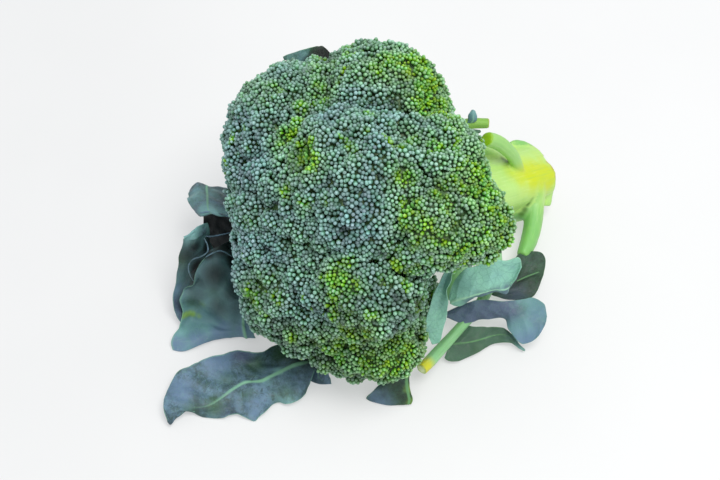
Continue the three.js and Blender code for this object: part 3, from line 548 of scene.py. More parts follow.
def branch_material():
    """Green flesh under the buds, paler towards the stalk; its dark green next to the buds is partly painted shade for
    the gaps between them. depth is 0 next to the buds and 1 at the stalk.
    """
    n = Nodes("broccoli_branch")
    depth = n.attr("depth")
    blot = n.noise(120.0, 3.0, 0.6)
    d = n.math("ADD", depth, n.math("MULTIPLY", n.math("SUBTRACT", blot, 0.5), 0.15))
    color = n.mix(n.ramp(d, 0.0, 0.22), n.mix(n.attr("young"), srgb(56, 92, 46), srgb(122, 176, 14)), srgb(104, 154, 70))
    color = n.mix(n.ramp(d, 0.2, 0.75), color, srgb(158, 203, 124))
    color = n.mix(n.ramp(d, 0.7, 1.0), color, srgb(186, 222, 140))
    streak = n.noise(420.0, 2.0, 0.5)
    color = n.mix(n.ramp(streak, 0.45, 0.8, 0.0, 0.3), color, srgb(206, 232, 172))
    n.put(n.bsdf.inputs["Base Color"], color)
    n.put(n.bsdf.inputs["Roughness"], n.ramp(blot, 0.3, 0.7, 0.42, 0.6))
    n.put(n.bsdf.inputs["Specular IOR Level"], 0.4)
    n.put(n.bsdf.inputs["Subsurface Weight"], 0.08)
    n.put(n.bsdf.inputs["Subsurface Radius"], (0.5, 1.0, 0.25))
    n.put(n.bsdf.inputs["Subsurface Scale"], 0.0015)
    n.put(n.bsdf.inputs["Normal"], n.bump(n.noise(500.0, 4.0, 0.6), 0.35, 0.0003))
    return n.mat


def stalk_material(name, pale, yellow, green):
    """Skin of the stalk and leaf stalks: along and around are lengths in mm, cut is 1 on a cut face."""
    n = Nodes(name)
    along, around, cut, warm = n.attr("along"), n.attr("around"), n.attr("cut"), n.attr("warm")
    lines = n.node("ShaderNodeCombineXYZ", {0: n.math("MULTIPLY", around, 1.0), 1: n.math("MULTIPLY", along, 0.06), 2: 0.0})
    fibre = n.noise(0.9, 3.0, 0.6, at=lines)
    blot = n.noise(95.0, 3.0, 0.55)
    color = n.mix(n.math("ADD", n.attr("green"), n.math("MULTIPLY", n.math("SUBTRACT", blot, 0.5), 0.5), clamp=True), pale, green)
    color = n.mix(n.ramp(n.math("ADD", warm, n.math("MULTIPLY", n.math("SUBTRACT", blot, 0.5), 0.35)), 0.1, 0.8), color, yellow)
    color = n.mix(n.ramp(fibre, 0.5, 0.78, 0.0, 0.35), color, green)
    color = n.mix(n.ramp(fibre, 0.25, 0.45, 0.22, 0.0), color, srgb(224, 244, 190))
    color = n.mix(n.ramp(n.attr("brown"), 0.1, 0.9), color, srgb(168, 138, 34))
    color = n.mix(n.ramp(n.attr("shade"), 0.1, 1.0, 0.0, 0.85), color, srgb(70, 104, 34))
    color = n.mix(n.attr("fresh"), color, srgb(132, 176, 20))
    # The cut face: pale pith, a darker ring of fibres, a dried edge.
    ring = n.attr("ring")
    pith = n.mix(n.noise(420.0, 3.0), srgb(206, 222, 156), srgb(226, 236, 190))
    face = n.mix(n.ramp(ring, 0.55, 0.8), pith, srgb(176, 200, 112))
    face = n.mix(n.ramp(n.cells(900.0), 0.0, 0.45, 0.35, 0.0), face, srgb(140, 160, 84))
    face = n.mix(n.ramp(ring, 0.86, 1.0), face, srgb(150, 152, 66))
    color = n.mix(cut, color, face)
    n.put(n.bsdf.inputs["Base Color"], color)
    n.put(n.bsdf.inputs["Roughness"], n.ramp(blot, 0.3, 0.7, 0.36, 0.52))
    n.put(n.bsdf.inputs["Specular IOR Level"], 0.45)
    n.put(n.bsdf.inputs["Subsurface Weight"], 0.12)
    n.put(n.bsdf.inputs["Subsurface Radius"], (0.7, 1.0, 0.3))
    n.put(n.bsdf.inputs["Subsurface Scale"], 0.002)
    height = n.math("ADD", fibre, n.math("MULTIPLY", n.noise(900.0, 3.0), 0.4))
    n.put(n.bsdf.inputs["Normal"], n.bump(height, 0.3, 0.0004))
    return n.mat


def leaf_material(name, upper, under, vein, dark, bloom, net_lines=0.25, contrast=1.0, net_tone=None, mottle=0.4):
    """Waxy leaf: vein is 1 on the ribs, below is 1 on the underside, edge is 1 at the margin; the other tones are
    spots, and the dark spots are painted shade.
    """
    n = Nodes(name)
    ve, below, edge, uu, vv = n.attr("vein"), n.attr("below"), n.attr("edge"), n.attr("along"), n.attr("across")
    at = n.node("ShaderNodeCombineXYZ", {0: uu, 1: vv, 2: 0.0})
    at = n.node("ShaderNodeVectorMath", {0: at, 1: n.node("ShaderNodeVectorMath", {0: n.node("ShaderNodeTexNoise", {"Vector": at, "Scale": 0.22, "Detail": 2.0}, out=1), 3: 2.2}, operation="SCALE")}, operation="ADD")
    net = n.cells(0.34, at=at, feature="DISTANCE_TO_EDGE")
    small = n.cells(0.95, at=at, feature="DISTANCE_TO_EDGE")
    lines = n.math("MAXIMUM", n.ramp(net, 0.0, 0.05, 1.0, 0.0), n.ramp(small, 0.0, 0.08, 0.5, 0.0))
    blot = n.noise(95.0, 5.0, 0.62, distortion=0.4)
    wide = n.noise(34.0, 2.0, 0.5)
    fine = n.noise(460.0, 3.0, 0.6)
    top = n.mix(n.ramp(blot, 0.5 - 0.13 / contrast, 0.5 + 0.13 / contrast), dark, upper)
    top = n.mix(n.ramp(n.math("ADD", n.math("MULTIPLY", fine, 0.5), n.math("MULTIPLY", wide, 0.5)), 0.42, 0.66, 0.0, 0.42), top, bloom)
    grain = n.noise(300.0, 6.0, 0.75, distortion=0.8)
    vein_dark = n.noise(130.0, 6.0, 0.78, distortion=1.2)
    top = n.mix(n.ramp(vein_dark, 0.52, 0.6, 0.0, mottle), top, n.mix(0.55, dark, srgb(42, 68, 50)))
    top = n.mix(n.ramp(grain, 0.52, 0.62, 0.0, mottle), top, n.mix(0.5, dark, srgb(30, 46, 34)))
    low = n.mix(n.ramp(blot, 0.35, 0.65, 0.0, 0.6), under, n.mix(0.6, under, upper))
    color = n.mix(below, top, low)
    wobble = n.math("MULTIPLY", n.math("SUBTRACT", blot, 0.5), 0.9)
    for key, tone, most in (("green", srgb(58, 92, 60), 0.8), ("blue", srgb(96, 122, 152), 0.85), ("violet", srgb(74, 84, 112), 0.85), ("pale", srgb(126, 176, 176), 0.9), ("lime", srgb(120, 158, 62), 0.85)):
        a = n.attr(key)
        color = n.mix(n.ramp(n.math("ADD", a, n.math("MULTIPLY", wobble, n.ramp(a, 0.0, 0.3))), 0.08, 0.85, 0.0, most), color, tone)
    color = n.mix(n.math("MULTIPLY", lines, net_lines), color, net_tone or vein)
    color = n.mix(n.ramp(ve, 0.12, 0.8), color, vein)
    color = n.mix(n.ramp(edge, 0.965, 1.0, 0.0, 0.5), color, vein)
    # Painted shade: the dark spots take the leaf nearly to black in folds, hollows and under the crown.
    color = n.mix(n.ramp(n.attr("dark"), 0.05, 0.95, 0.0, 0.96), color, srgb(10, 15, 13))
    n.put(n.bsdf.inputs["Base Color"], color)
    n.put(n.bsdf.inputs["Roughness"], n.ramp(fine, 0.3, 0.7, 0.42, 0.6))
    n.put(n.bsdf.inputs["Specular IOR Level"], 0.4)
    n.put(n.bsdf.inputs["Subsurface Weight"], 0.04)
    n.put(n.bsdf.inputs["Subsurface Radius"], (0.4, 1.0, 0.3))
    n.put(n.bsdf.inputs["Subsurface Scale"], 0.001)
    height = n.math("ADD", n.math("MULTIPLY", lines, n.ramp(below, 0.0, 1.0, -0.7, 0.8)), n.math("ADD", n.math("MULTIPLY", fine, 0.5), n.math("MULTIPLY", blot, 0.8)))
    n.put(n.bsdf.inputs["Normal"], n.bump(height, 0.4, 0.00035))
    return n.mat


BUDS = bud_material()
BRANCH = branch_material()
STALK = stalk_material("broccoli_stalk", srgb(176, 215, 118), srgb(190, 205, 16), srgb(122, 184, 100))
PETIOLE = stalk_material("broccoli_leaf_stalk", srgb(134, 190, 134), srgb(196, 196, 40), srgb(98, 160, 76))
SHOOT = stalk_material("broccoli_shoot", srgb(124, 172, 70), srgb(150, 190, 40), srgb(92, 150, 36))
LEAF_DARK = leaf_material("leaf_dark", srgb(80, 110, 126), srgb(94, 136, 140), srgb(128, 182, 152), srgb(50, 74, 78), srgb(128, 160, 188), 0.12, mottle=0.7)
LEAF_GREEN = leaf_material("leaf_green", srgb(44, 72, 54), srgb(68, 102, 82), srgb(98, 150, 98), srgb(28, 46, 36), srgb(72, 104, 94), 0.14)
LEAF_PALE = leaf_material("leaf_pale", srgb(134, 192, 170), srgb(142, 200, 178), srgb(156, 208, 176), srgb(90, 138, 126), srgb(150, 198, 200), 0.42, net_tone=srgb(70, 122, 112), mottle=0.15)

# ---------------------------------------------------------------- crown

LOBE_NAMES = [name for name, _, _ in LOBES]
LC = np.array([c for _, c, _ in LOBES], float)
LC[LOBE_NAMES.index("bottom_right")] += (2.4, 3.8, -0.4)
for _name in ("right_low", "centre_right", "right_rim"):
    LC[LOBE_NAMES.index(_name)] += (-1.3, 0.8, 1.3)
LR = np.array([r for _, _, r in LOBES], float)


FAMILY = {"top_a": "top", "top_b": "top", "right_rim": "right_low", "centre_right": "right_low"}
GROUPS = [("top_a", "top_b"), ("right", "right_low", "centre_right", "rim_right", "rim_top", "right_rim"), ("bottom", "bottom_right")]
GROUP = np.array([next((k + 1 for k, g in enumerate(GROUPS) if n in g), 0) for n in LOBE_NAMES])
BLEND, BLEND_GROUPS = 5.0, 2.5


RIGHT = np.array([0.529919, 0.848048, 0.0])
UP = np.array([-0.649642, 0.405942, 0.642788])


def smooth(x, lo, hi):
    x = np.clip((x - lo) / (hi - lo), 0, 1)
    return x * x * (3 - 2 * x)


def family(name):
    return FAMILY.get(name, name)


def crown_at(p):
    """Distance from the crown's outer surface, the way out of it, and the nearest floret."""
    dist, grad, near = [], [], []
    for lo in range(0, len(p), 20000):
        q = p[lo : lo + 20000]
        v = q[:, None] - LC[None]
        l = np.linalg.norm(v, axis=2)
        d = l - LR
        n = v / l[..., None]
        D, G = [], []
        for g in range(len(GROUPS) + 1):
            m = GROUP == g
            e = d[:, m]
            least = e.min(1, keepdims=True)
            w = np.exp((least - e) / BLEND)
            D.append(least[:, 0] - BLEND * np.log(w.sum(1)))
            G.append((w[..., None] * n[:, m]).sum(1) / w.sum(1, keepdims=True))
        D, G = np.stack(D, 1), np.stack(G, 1)
        least = D.min(1, keepdims=True)
        w = np.exp((least - D) / BLEND_GROUPS)
        dist.append(least[:, 0] - BLEND_GROUPS * np.log(w.sum(1)))
        grad.append(unit((w[..., None] * G).sum(1)))
        near.append(d.argmin(1))
    return np.concatenate(dist), np.concatenate(grad), np.concatenate(near)


def ball_points(count):
    k = np.arange(count) + 0.5
    z = 1 - 2 * k / count
    s = np.sqrt(1 - z * z)
    a = math.pi * (3 - math.sqrt(5)) * k
    return np.stack([s * np.cos(a), s * np.sin(a), z], -1)


def small_heads():
    """Places for the small domes of buds that cover the florets: centre of the sphere, its radius, its floret, its top."""
    pts, nrm, own = [], [], []
    for i, (c, r) in enumerate(zip(LC, LR)):
        d = ball_points(int(4 * math.pi * r * r / 2.2))
        reach = np.full(len(d), r)
        for _ in range(7):
            dist, _, _ = crown_at(c + d * reach[:, None])
            reach = np.clip(reach - dist, r, r + 9)
        p = c + d * reach[:, None]
        dist, n, near = crown_at(p)
        ok = (near == i) & (np.abs(dist) < 0.4)
        ok &= (n * unit(p - HUB)).sum(1) > -0.12
        ok &= p[:, 2] > 0.4
        pts.append(p[ok])
        nrm.append(n[ok])
        own.append(np.full(ok.sum(), i))
    pts, nrm, own = np.concatenate(pts), np.concatenate(nrm), np.concatenate(own)
    far = np.full(len(pts), 1e9)
    chosen = []
    k = int(np.argmax(pts[:, 2]))
    reach = 9.2 * (1 + 0.2 * noise(pts, 26.0))
    while True:
        chosen.append(k)
        far = np.minimum(far, np.linalg.norm(pts - pts[k], axis=1) / reach)
        k = int(np.argmax(far))
        if far[k] < 1.0 or len(chosen) > 460:
            break
    g = np.array(chosen)
    rho = rng.uniform(7.6, 11.0, len(g))
    # The head is a little fuller at the top and on the left than on its right side.
    q = pts[g] - [0, 0, 64.5]
    lift = rng.uniform(-0.9, 0.8, len(g)) + 0.7 * noise(pts[g], 16.0) - 1.7 * smooth(q @ RIGHT, 5, 36) * (1 - smooth(q @ UP, 16, 36))
    centre = pts[g] + nrm[g] * (lift - rho)[:, None]
    return centre, rho, own[g], pts[g], nrm[g]


HC, HR, HO, HP, HN = small_heads()
YP = np.array([y[:3] for y in YOUNG]) - SHIFT
YR = np.array([y[3] for y in YOUNG])
YS = np.array([y[4] for y in YOUNG])
YD = np.array([y[5] for y in YOUNG])
CP = np.array([c[:3] for c in CLEFTS]) - SHIFT
CR = np.array([c[3] for c in CLEFTS])


def youth(p, spread=1.75):
    k = np.zeros(len(p))
    sink = np.zeros(len(p))
    for q, r, s, dp in zip(YP, YR, YS, YD):
        l = np.linalg.norm(p - q, axis=1) / r
        k = np.maximum(k, s * (1 - smooth(l / spread, 0.4, 1.2)))
        sink = np.maximum(sink, np.exp(-l * l * 0.7) * dp)
    return k, sink


def greenness(p):
    a, b = (p - [0, 0, 64.5]) @ RIGHT, (p - [0, 0, 64.5]) @ UP
    s = 0.12 + 0.62 * smooth(a, 0, 48) + 0.62 * smooth(-b, 34, 62) + 0.32 * smooth(b, 38, 58)
    s = s + 0.5 * youth(p, 3.6)[0]
    return np.clip(s + 0.25 * noise(p, 15.0, 5.0) + 0.15 * noise(p, 6.0, 9.0), 0, 1)
BACK = np.array([0.545115, -0.340626, 0.766044])


def onto_heads(p):
    """Moves points onto the small domes' common surface; gives the dome of each."""
    out, own = [], []
    for lo in range(0, len(p), 4000):
        q = p[lo : lo + 4000]
        l = np.linalg.norm(q[:, None] - HC[None], axis=2)
        deep = HR - l
        j = deep.argmax(1)
        k = np.arange(len(q))
        out.append(q + (q - HC[j]) / l[k, j][:, None] * deep[k, j][:, None])
        own.append(j)
    return np.concatenate(out), np.concatenate(own)


def scatter_buds():
    P = []
    area = 0.866 * (0.6 * PITCH) ** 2
    for i in range(len(HC)):
        c, r, up = HC[i], HR[i], HN[i]
        count = int(2 * math.pi * r * r * (1 - math.cos(math.radians(108))) / area)
        k = np.arange(count) + 0.5
        cz = 1 - k * area / (2 * math.pi * r * r)
        s = np.sqrt(np.maximum(0, 1 - cz * cz))
        a = math.pi * (3 - math.sqrt(5)) * k + rng.uniform(0, 6.28)
        e1 = unit(np.cross(up, [0.3, 0.5, 0.81]))
        e2 = np.cross(up, e1)
        d = s[:, None] * (np.cos(a)[:, None] * e1 + np.sin(a)[:, None] * e2) + cz[:, None] * up
        d = unit(d + rng.normal(0, 0.2 * PITCH / r, d.shape))
        p = c + d * r
        ok = np.ones(count, bool)
        near = np.where(np.linalg.norm(HC - c, axis=1) < r + HR)[0]
        for j in near:
            if j != i:
                ok &= np.linalg.norm(p - HC[j], axis=1) > HR[j] - 0.1
        # Buds face outwards; under a head there are only branches.
        ok &= (d * unit(p - HUB)).sum(1) > -0.4
        ok &= p[:, 2] > -1.5
        P.append(p[ok])
    P = np.concatenate(P)
    # Finer buds on the greener side, coarser ones on the side that lies away.
    spread = PITCH * (1.02 + 0.09 * noise(P, 11.0, 8.0) - 0.1 * greenness(P) + 0.22 * smooth(-(P - [0, 0, 64.5]) @ BACK, -8, 24))
    tree = KDTree(len(P))
    for k, p in enumerate(P):
        tree.insert(p, k)
    tree.balance()
    alive = np.ones(len(P), bool)
    chosen = []
    for k in rng.permutation(len(P)):
        if alive[k]:
            chosen.append(k)
            for _, j, _ in tree.find_range(P[k], 0.76 * spread[k]):
                alive[j] = False
    P = P[chosen]
    spread = spread[chosen]
    # Let them push each other into an even, close packing.
    for step in range(7):
        tree = KDTree(len(P))
        for k, p in enumerate(P):
            tree.insert(p, k)
        tree.balance()
        A, B = [], []
        for k in range(len(P)):
            for _, j, _ in tree.find_range(P[k], 1.22 * PITCH):
                if j > k:
                    A.append(k)
                    B.append(j)
        A, B = np.array(A), np.array(B)
        v = P[A] - P[B]
        l = np.linalg.norm(v, axis=1)
        want = 1.04 * 0.5 * (spread[A] + spread[B])
        push = np.clip(want - l, 0, None)[:, None] * v / np.maximum(l, 1e-6)[:, None] * 0.3
        move = np.zeros_like(P)
        np.add.at(move, A, push)
        np.add.at(move, B, -push)
        m = np.linalg.norm(move, axis=1, keepdims=True)
        P = P + move * np.minimum(1, 0.5 / np.maximum(m, 1e-6))
        P, own = onto_heads(P)
    D = unit(P - HC[own])
    ok = ((D * unit(P - HUB)).sum(1) > -0.42) & (P[:, 2] > -1.3)
    P, D, own, spread = P[ok], D[ok], own[ok], spread[ok]
    P[:, 2] = np.maximum(P[:, 2], 0.95)
    return P, D, HO[own], own, spread / PITCH


BP, BD, BO, BH, BSIZE = scatter_buds()

# Bud: a round bead with four faint sepals on a tapering foot, one closed mesh.
SEG = 6
RINGS = [(34, 1.0), (70, 1.0), (108, 1.0)]


def bud_shape():
    v, rise = [(0, 0, 1.1)], [1.0]
    for q, (a, k) in enumerate(RINGS):
        t = math.radians(a)
        for j in range(SEG):
            f = 2 * math.pi * (j + 0.5 * (q % 2)) / SEG
            r = math.sin(t) * k * (1 + (0.05 * math.cos(4 * f) if q == 2 else 0))
            v.append((r * math.cos(f), r * math.sin(f), 1.1 * math.cos(t)))
            rise.append((0.9, 0.5, 0.14)[q])
    v.append((0, 0, -2.4))
    rise.append(0.0)
    f = [(0, 1 + j, 1 + (j + 1) % SEG) for j in range(SEG)]
    for q in range(len(RINGS) - 1):
        for j in range(SEG):
            a, b = 1 + q * SEG + j, 1 + q * SEG + (j + 1) % SEG
            c, d = a + SEG, b + SEG
            f += [(a, c, b), (b, c, d)] if q % 2 == 0 else [(a, c, d), (a, d, b)]
    last = 1 + (len(RINGS) - 1) * SEG
    for j in range(SEG):
        f.append((len(v) - 1, last + (j + 1) % SEG, last + j))
    return np.array(v), np.array(f), np.array(rise)


TV, TF, TR = bud_shape()


def cleft_at(p, dark=False):
    """Nearness to a cleft between florets; with dark set it gives the buds' painted shade, and a negative radius is a
    flat place that gets none.
    """
    cleft = np.zeros(len(p))
    for q, r in zip(CP, CR):
        if dark and r < 0:
            continue
        d = np.linalg.norm(p - q, axis=1) / r
        cleft = np.maximum(cleft, np.exp(-d * d * 0.9))
    return cleft


def sunk(p):
    """How far the crown's surface lies back at p: in the hollows with young buds and in the clefts."""
    return youth(p)[1] * 0.95 + 2.8 * cleft_at(p)


PRESS = 3.0


def nearest_blade(p):
    pts = []
    for g in BLADES.values():
        g = np.asarray(g, float)
        R, C = g.shape[:2]
        a = np.stack([spline(g[:, c], np.linspace(0, R - 1, 6 * R)) for c in range(C)], 1)
        pts.append(np.concatenate([spline(row, np.linspace(0, C - 1, 7 * C)) for row in a]))
    pts = np.concatenate(pts)
    tree = KDTree(len(pts))
    for k, q in enumerate(pts):
        tree.insert(q, k)
    tree.balance()
    return np.array([tree.find(q)[2] for q in p])


def clumps():
    """Buds stand in small clumps: for each bud the way from its clump's middle, and how far out it is in it."""
    far = np.full(len(BP), 1e9)
    reach = 5.4 * (1 + 0.3 * noise(BP, 9.0, 4.0))
    chosen, k = [], 0
    while True:
        chosen.append(k)
        far = np.minimum(far, np.linalg.norm(BP - BP[k], axis=1) / reach)
        k = int(np.argmax(far))
        if far[k] < 1.0:
            break
    mid = BP[chosen]
    tree = KDTree(len(mid))
    for k, p in enumerate(mid):
        tree.insert(p, k)
    tree.balance()
    near = np.array([tree.find(p)[1] for p in BP])
    v = BP - mid[near]
    return v, np.linalg.norm(v, axis=1), rng.normal(0, 0.36, len(mid))[near]


def grow_buds():
    n = len(BP)
    young, sink = youth(BP)
    side = greenness(BP)
    # Young buds also show here and there between the others, more of them where the head is greener.
    speck = noise(BP, 4.6, 7.1) + 0.7 * noise(BP, 11.0, 2.3)
    young = np.maximum(young, np.clip((speck - 0.66 + 0.5 * side) * 1.2, 0, 0.5))
    young = np.clip(young + rng.normal(0, 0.06, n) * (young > 0.05), 0, 1)
    tint = rng.random(n)
    away, dist, lot = clumps()
    size = BUD * BSIZE * rng.uniform(0.82, 1.12, n) * (1 - 0.17 * young)
    level = rng.normal(0, 0.16, n) + lot + 0.8 * (1 - (dist / 2.7) ** 2).clip(-1.2, 1) - sunk(BP) - 0.3 * young
    # A few buds stand out on their foot.
    proud = rng.random(n) < 0.012
    level[proud] += 0.7
    # The leaves press into the buds they lie on.
    level -= np.clip(PRESS - nearest_blade(BP), 0, PRESS) * 1.1
    stretch = 1.05 + 0.2 * rng.random(n) + 0.2 * young
    d = unit(BD + away * 0.2 + rng.normal(0, 0.1, BD.shape) + young[:, None] * rng.normal(0, 0.22, BD.shape))
    p = BP + BD * level[:, None]
    low = size * 0.92
    p[:, 2] = np.maximum(p[:, 2], low)
    spin = rng.uniform(0, 2 * math.pi, n)
    e1 = unit(np.cross(d, unit(rng.normal(size=(n, 3)))))
    e2 = np.cross(d, e1)
    T = TV[None, :, :]
    c, s = np.cos(spin)[:, None], np.sin(spin)[:, None]
    x = T[:, :, 0] * c - T[:, :, 1] * s
    y = T[:, :, 0] * s + T[:, :, 1] * c
    z = np.broadcast_to(T[:, :, 2], x.shape) * stretch[:, None]
    v = p[:, None, :] + size[:, None, None] * (x[..., None] * e1[:, None, :] + y[..., None] * e2[:, None, :] + z[..., None] * d[:, None, :])
    v[..., 2] = np.maximum(v[..., 2], 0.02)
    # Painted shade on the buds: darker in the clefts, low on the crown, towards the edge of each clump and on clumps
    # that sit lower.
    painted_shade = np.clip(0.6 * cleft_at(BP, True) + 0.17 * smooth(-((BP - [0, 0, 64.5]) @ UP), 26, 52) + 0.3 * smooth(dist, 1.7, 3.4) - 0.3 * lot, -0.12, 0.8)
    return v, young, side, tint, painted_shade


BV, YOUNGNESS, SIDE, TINT, PAINTED_SHADE = grow_buds()
for fam in dict.fromkeys(family(n) for n in LOBE_NAMES):
    ids = [i for i, n in enumerate(LOBE_NAMES) if family(n) == fam]
    k = np.where(np.isin(BO, ids))[0]
    if not len(k):
        continue
    m = len(TV)
    faces = (TF[None] + (np.arange(len(k)) * m)[:, None, None]).reshape(-1, 3)
    rep = lambda a: np.repeat(a[k], m)
    make(
        "buds_" + fam,
        BV[k].reshape(-1, 3),
        [faces],
        {"rise": np.tile(TR, len(k)), "tint": rep(TINT), "young": rep(YOUNGNESS), "side": rep(SIDE), "painted_shade": rep(PAINTED_SHADE)},
        BUDS,
        "floret_" + fam,
    )

# ---------------------------------------------------------------- branches


def tube(nodes, seg=16, step=2.0, shape=None, dome=0.15):
    """Closed tube along nodes (x, y, z, r): points, faces, and the length along and the angle around of each point."""
    nodes = np.asarray(nodes, float)
    length = np.linalg.norm(np.diff(nodes[:, :3], axis=0), axis=1).sum()
    n = max(4, int(length / step) + 1)
    q = spline(nodes, np.linspace(0, len(nodes) - 1, n))
    c, r = q[:, :3], np.maximum(q[:, 3], 0.05)
    tan = unit(np.gradient(c, axis=0))
    side = unit(np.cross(tan[0], [0.2, 0.1, 0.97] if abs(tan[0, 2]) < 0.9 else [1, 0, 0]))
    a = np.arange(seg) / seg * 2 * math.pi
    v, al, ar = [], [], []
    s = np.concatenate([[0], np.cumsum(np.linalg.norm(np.diff(c, axis=0), axis=1))])
    for i in range(n):
        side = unit(side - tan[i] * (side @ tan[i]))
        other = np.cross(tan[i], side)
        k = np.ones(seg) if shape is None else shape(s[i], a, s[-1])
        v.append(c[i] + (r[i] * k * np.cos(a))[:, None] * side + (r[i] * k * np.sin(a))[:, None] * other)
        al.append(np.full(seg, s[i]))
        ar.append(a * r.mean())
    v = np.concatenate(v)
    j = np.arange(seg)
    f = np.concatenate([np.stack([i * seg + j, i * seg + (j + 1) % seg, (i + 1) * seg + (j + 1) % seg, (i + 1) * seg + j], -1) for i in range(n - 1)])
    ends = np.array([c[0] - tan[0] * dome * r[0], c[-1] + tan[-1] * dome * r[-1]])
    v = np.concatenate([v, ends])
    m = n * seg
    caps = np.concatenate([np.stack([np.full(seg, m), (j + 1) % seg, j], -1), np.stack([np.full(seg, m + 1), m - seg + j, m - seg + (j + 1) % seg], -1)])
    return v, [f, caps], np.concatenate(al + [[0, s[-1]]]), np.concatenate(ar + [[0, 0]])


def ball(centre, radius, n=1):
    """Icosphere points and faces."""
    import bmesh

    bm = bmesh.new()
    bmesh.ops.create_icosphere(bm, subdivisions=n, radius=radius)
    v = np.array([tuple(x.co) for x in bm.verts]) + centre
    f = np.array([[x.index for x in y.verts] for y in bm.faces])
    bm.free()
    return v, f


def merged(parts):
    v, tri, quad, k = [], [], [], 0
    for pv, pf in parts:
        for f in pf:
            f = np.asarray(f)
            (quad if f.shape[1] == 4 else tri).append(f + k)
        v.append(pv)
        k += len(pv)
    return np.concatenate(v), [np.concatenate(x) for x in (tri, quad) if x]


def remeshed(name, parts, voxel, smooth=3):
    """One skin around overlapping closed shapes; points and faces in mm."""
    v, f = merged(parts)
    me = bpy.data.meshes.new(name)
    me.from_pydata([tuple(p) for p in v * MM], [], [tuple(int(i) for i in x) for g in f for x in g])
    ob = bpy.data.objects.new(name, me)
    bpy.context.scene.collection.objects.link(ob)
    m = ob.modifiers.new("skin", "REMESH")
    m.mode = "VOXEL"
    m.voxel_size = voxel * MM
    m.adaptivity = 0.0
    s = ob.modifiers.new("soft", "SMOOTH")
    s.iterations = smooth
    s.factor = 0.6
    got = ob.evaluated_get(bpy.context.evaluated_depsgraph_get())
    mesh = got.to_mesh()
    n = len(mesh.vertices)
    v = np.empty(n * 3, np.float32)
    mesh.vertices.foreach_get("co", v)
    loops = np.empty(len(mesh.loops), np.int32)
    mesh.loops.foreach_get("vertex_index", loops)
    sizes = np.empty(len(mesh.polygons), np.int32)
    mesh.polygons.foreach_get("loop_total", sizes)
    starts = np.empty(len(mesh.polygons), np.int32)
    mesh.polygons.foreach_get("loop_start", starts)
    faces = []
    for k in (3, 4):
        w = starts[sizes == k]
        if len(w):
            faces.append(loops[w[:, None] + np.arange(k)])
    got.to_mesh_clear()
    bpy.data.objects.remove(ob)
    bpy.data.meshes.remove(me)
    return v.reshape(-1, 3).astype(float) / MM, faces


def grow_branches():
    for fam in dict.fromkeys(family(n) for n in LOBE_NAMES):
        parts = []
        for i, name in enumerate(LOBE_NAMES):
            if family(name) != fam:
                continue
            c, r = LC[i], LR[i]
            out = unit(c - HUB)
            depth = max(r, min(CAP_DEPTH, 1.45 * r))
            under = c + out * (r - depth)
            tip = under + out * 3
            k = min(1.0, r / 24)
            start = HUB + unit(tip - HUB) * 7
            bend = HUB + (tip - HUB) * 0.55 + rng.normal(0, 0.8, 3)
            nodes = [[*start, 7.2 * k], [*(start * 0.5 + bend * 0.5), 5.6 * k], [*bend, 5.4 * k], [*(bend * 0.4 + tip * 0.6), 6.0 * k], [*tip, 7.6 * k]]
            phase = rng.uniform(0, 6.28)
            v, f, _, _ = tube(nodes, 14, 2.2, lambda s, a, l: 1 + 0.06 * np.cos(3 * a + phase + s * 0.03) + 0.03 * np.cos(5 * a - s * 0.05))
            parts.append((v, f))
            for j in np.where(HO == i)[0]:
                # the flesh right under one small head of buds, and its own stem
                v, f = ball(HC[j], HR[j] - 2.3, 2)
                parts.append((v, [f]))
                seat = HC[j]
                mid = seat * 0.5 + tip * 0.5 + out * 1.5 + rng.normal(0, 0.7, 3)
                v, f, _, _ = tube([[*(tip + out * 1.0), 3.6 * k + 0.6], [*mid, 3.0], [*seat, 5.2]], 10, 2.4)
                parts.append((v, f))
        v, f = remeshed("skin", parts, 1.8, 2)
        v[:, 2] = np.maximum(v[:, 2], 0.4)
        # depth: 0 where buds sit on it, 1 near the stalk
        near = np.full(len(v), 1e9)
        for j in range(len(HC)):
            if family(LOBE_NAMES[HO[j]]) == fam:
                near = np.minimum(near, np.abs(np.linalg.norm(v - HC[j], axis=1) - HR[j] + 2.3) + 9 * ((unit(v - HC[j]) * HN[j]).sum(1) < -0.25))
        away = np.linalg.norm(v - HUB, axis=1)
        depth = np.clip(near / 16, 0, 0.55) + np.clip(0.5 - away / 90, 0, 0.45)
        rough = noise(v, 2.6, 4.0) * 0.15 - sunk(v) * (near < 5)
        make("branch_" + fam, v + unit(v - HUB) * rough[:, None], f, {"depth": depth, "young": np.clip(youth(v, 1.2)[0], 0, 1)}, BRANCH, "floret_" + fam)


grow_branches()

# ---------------------------------------------------------------- stalk and leaf stalks


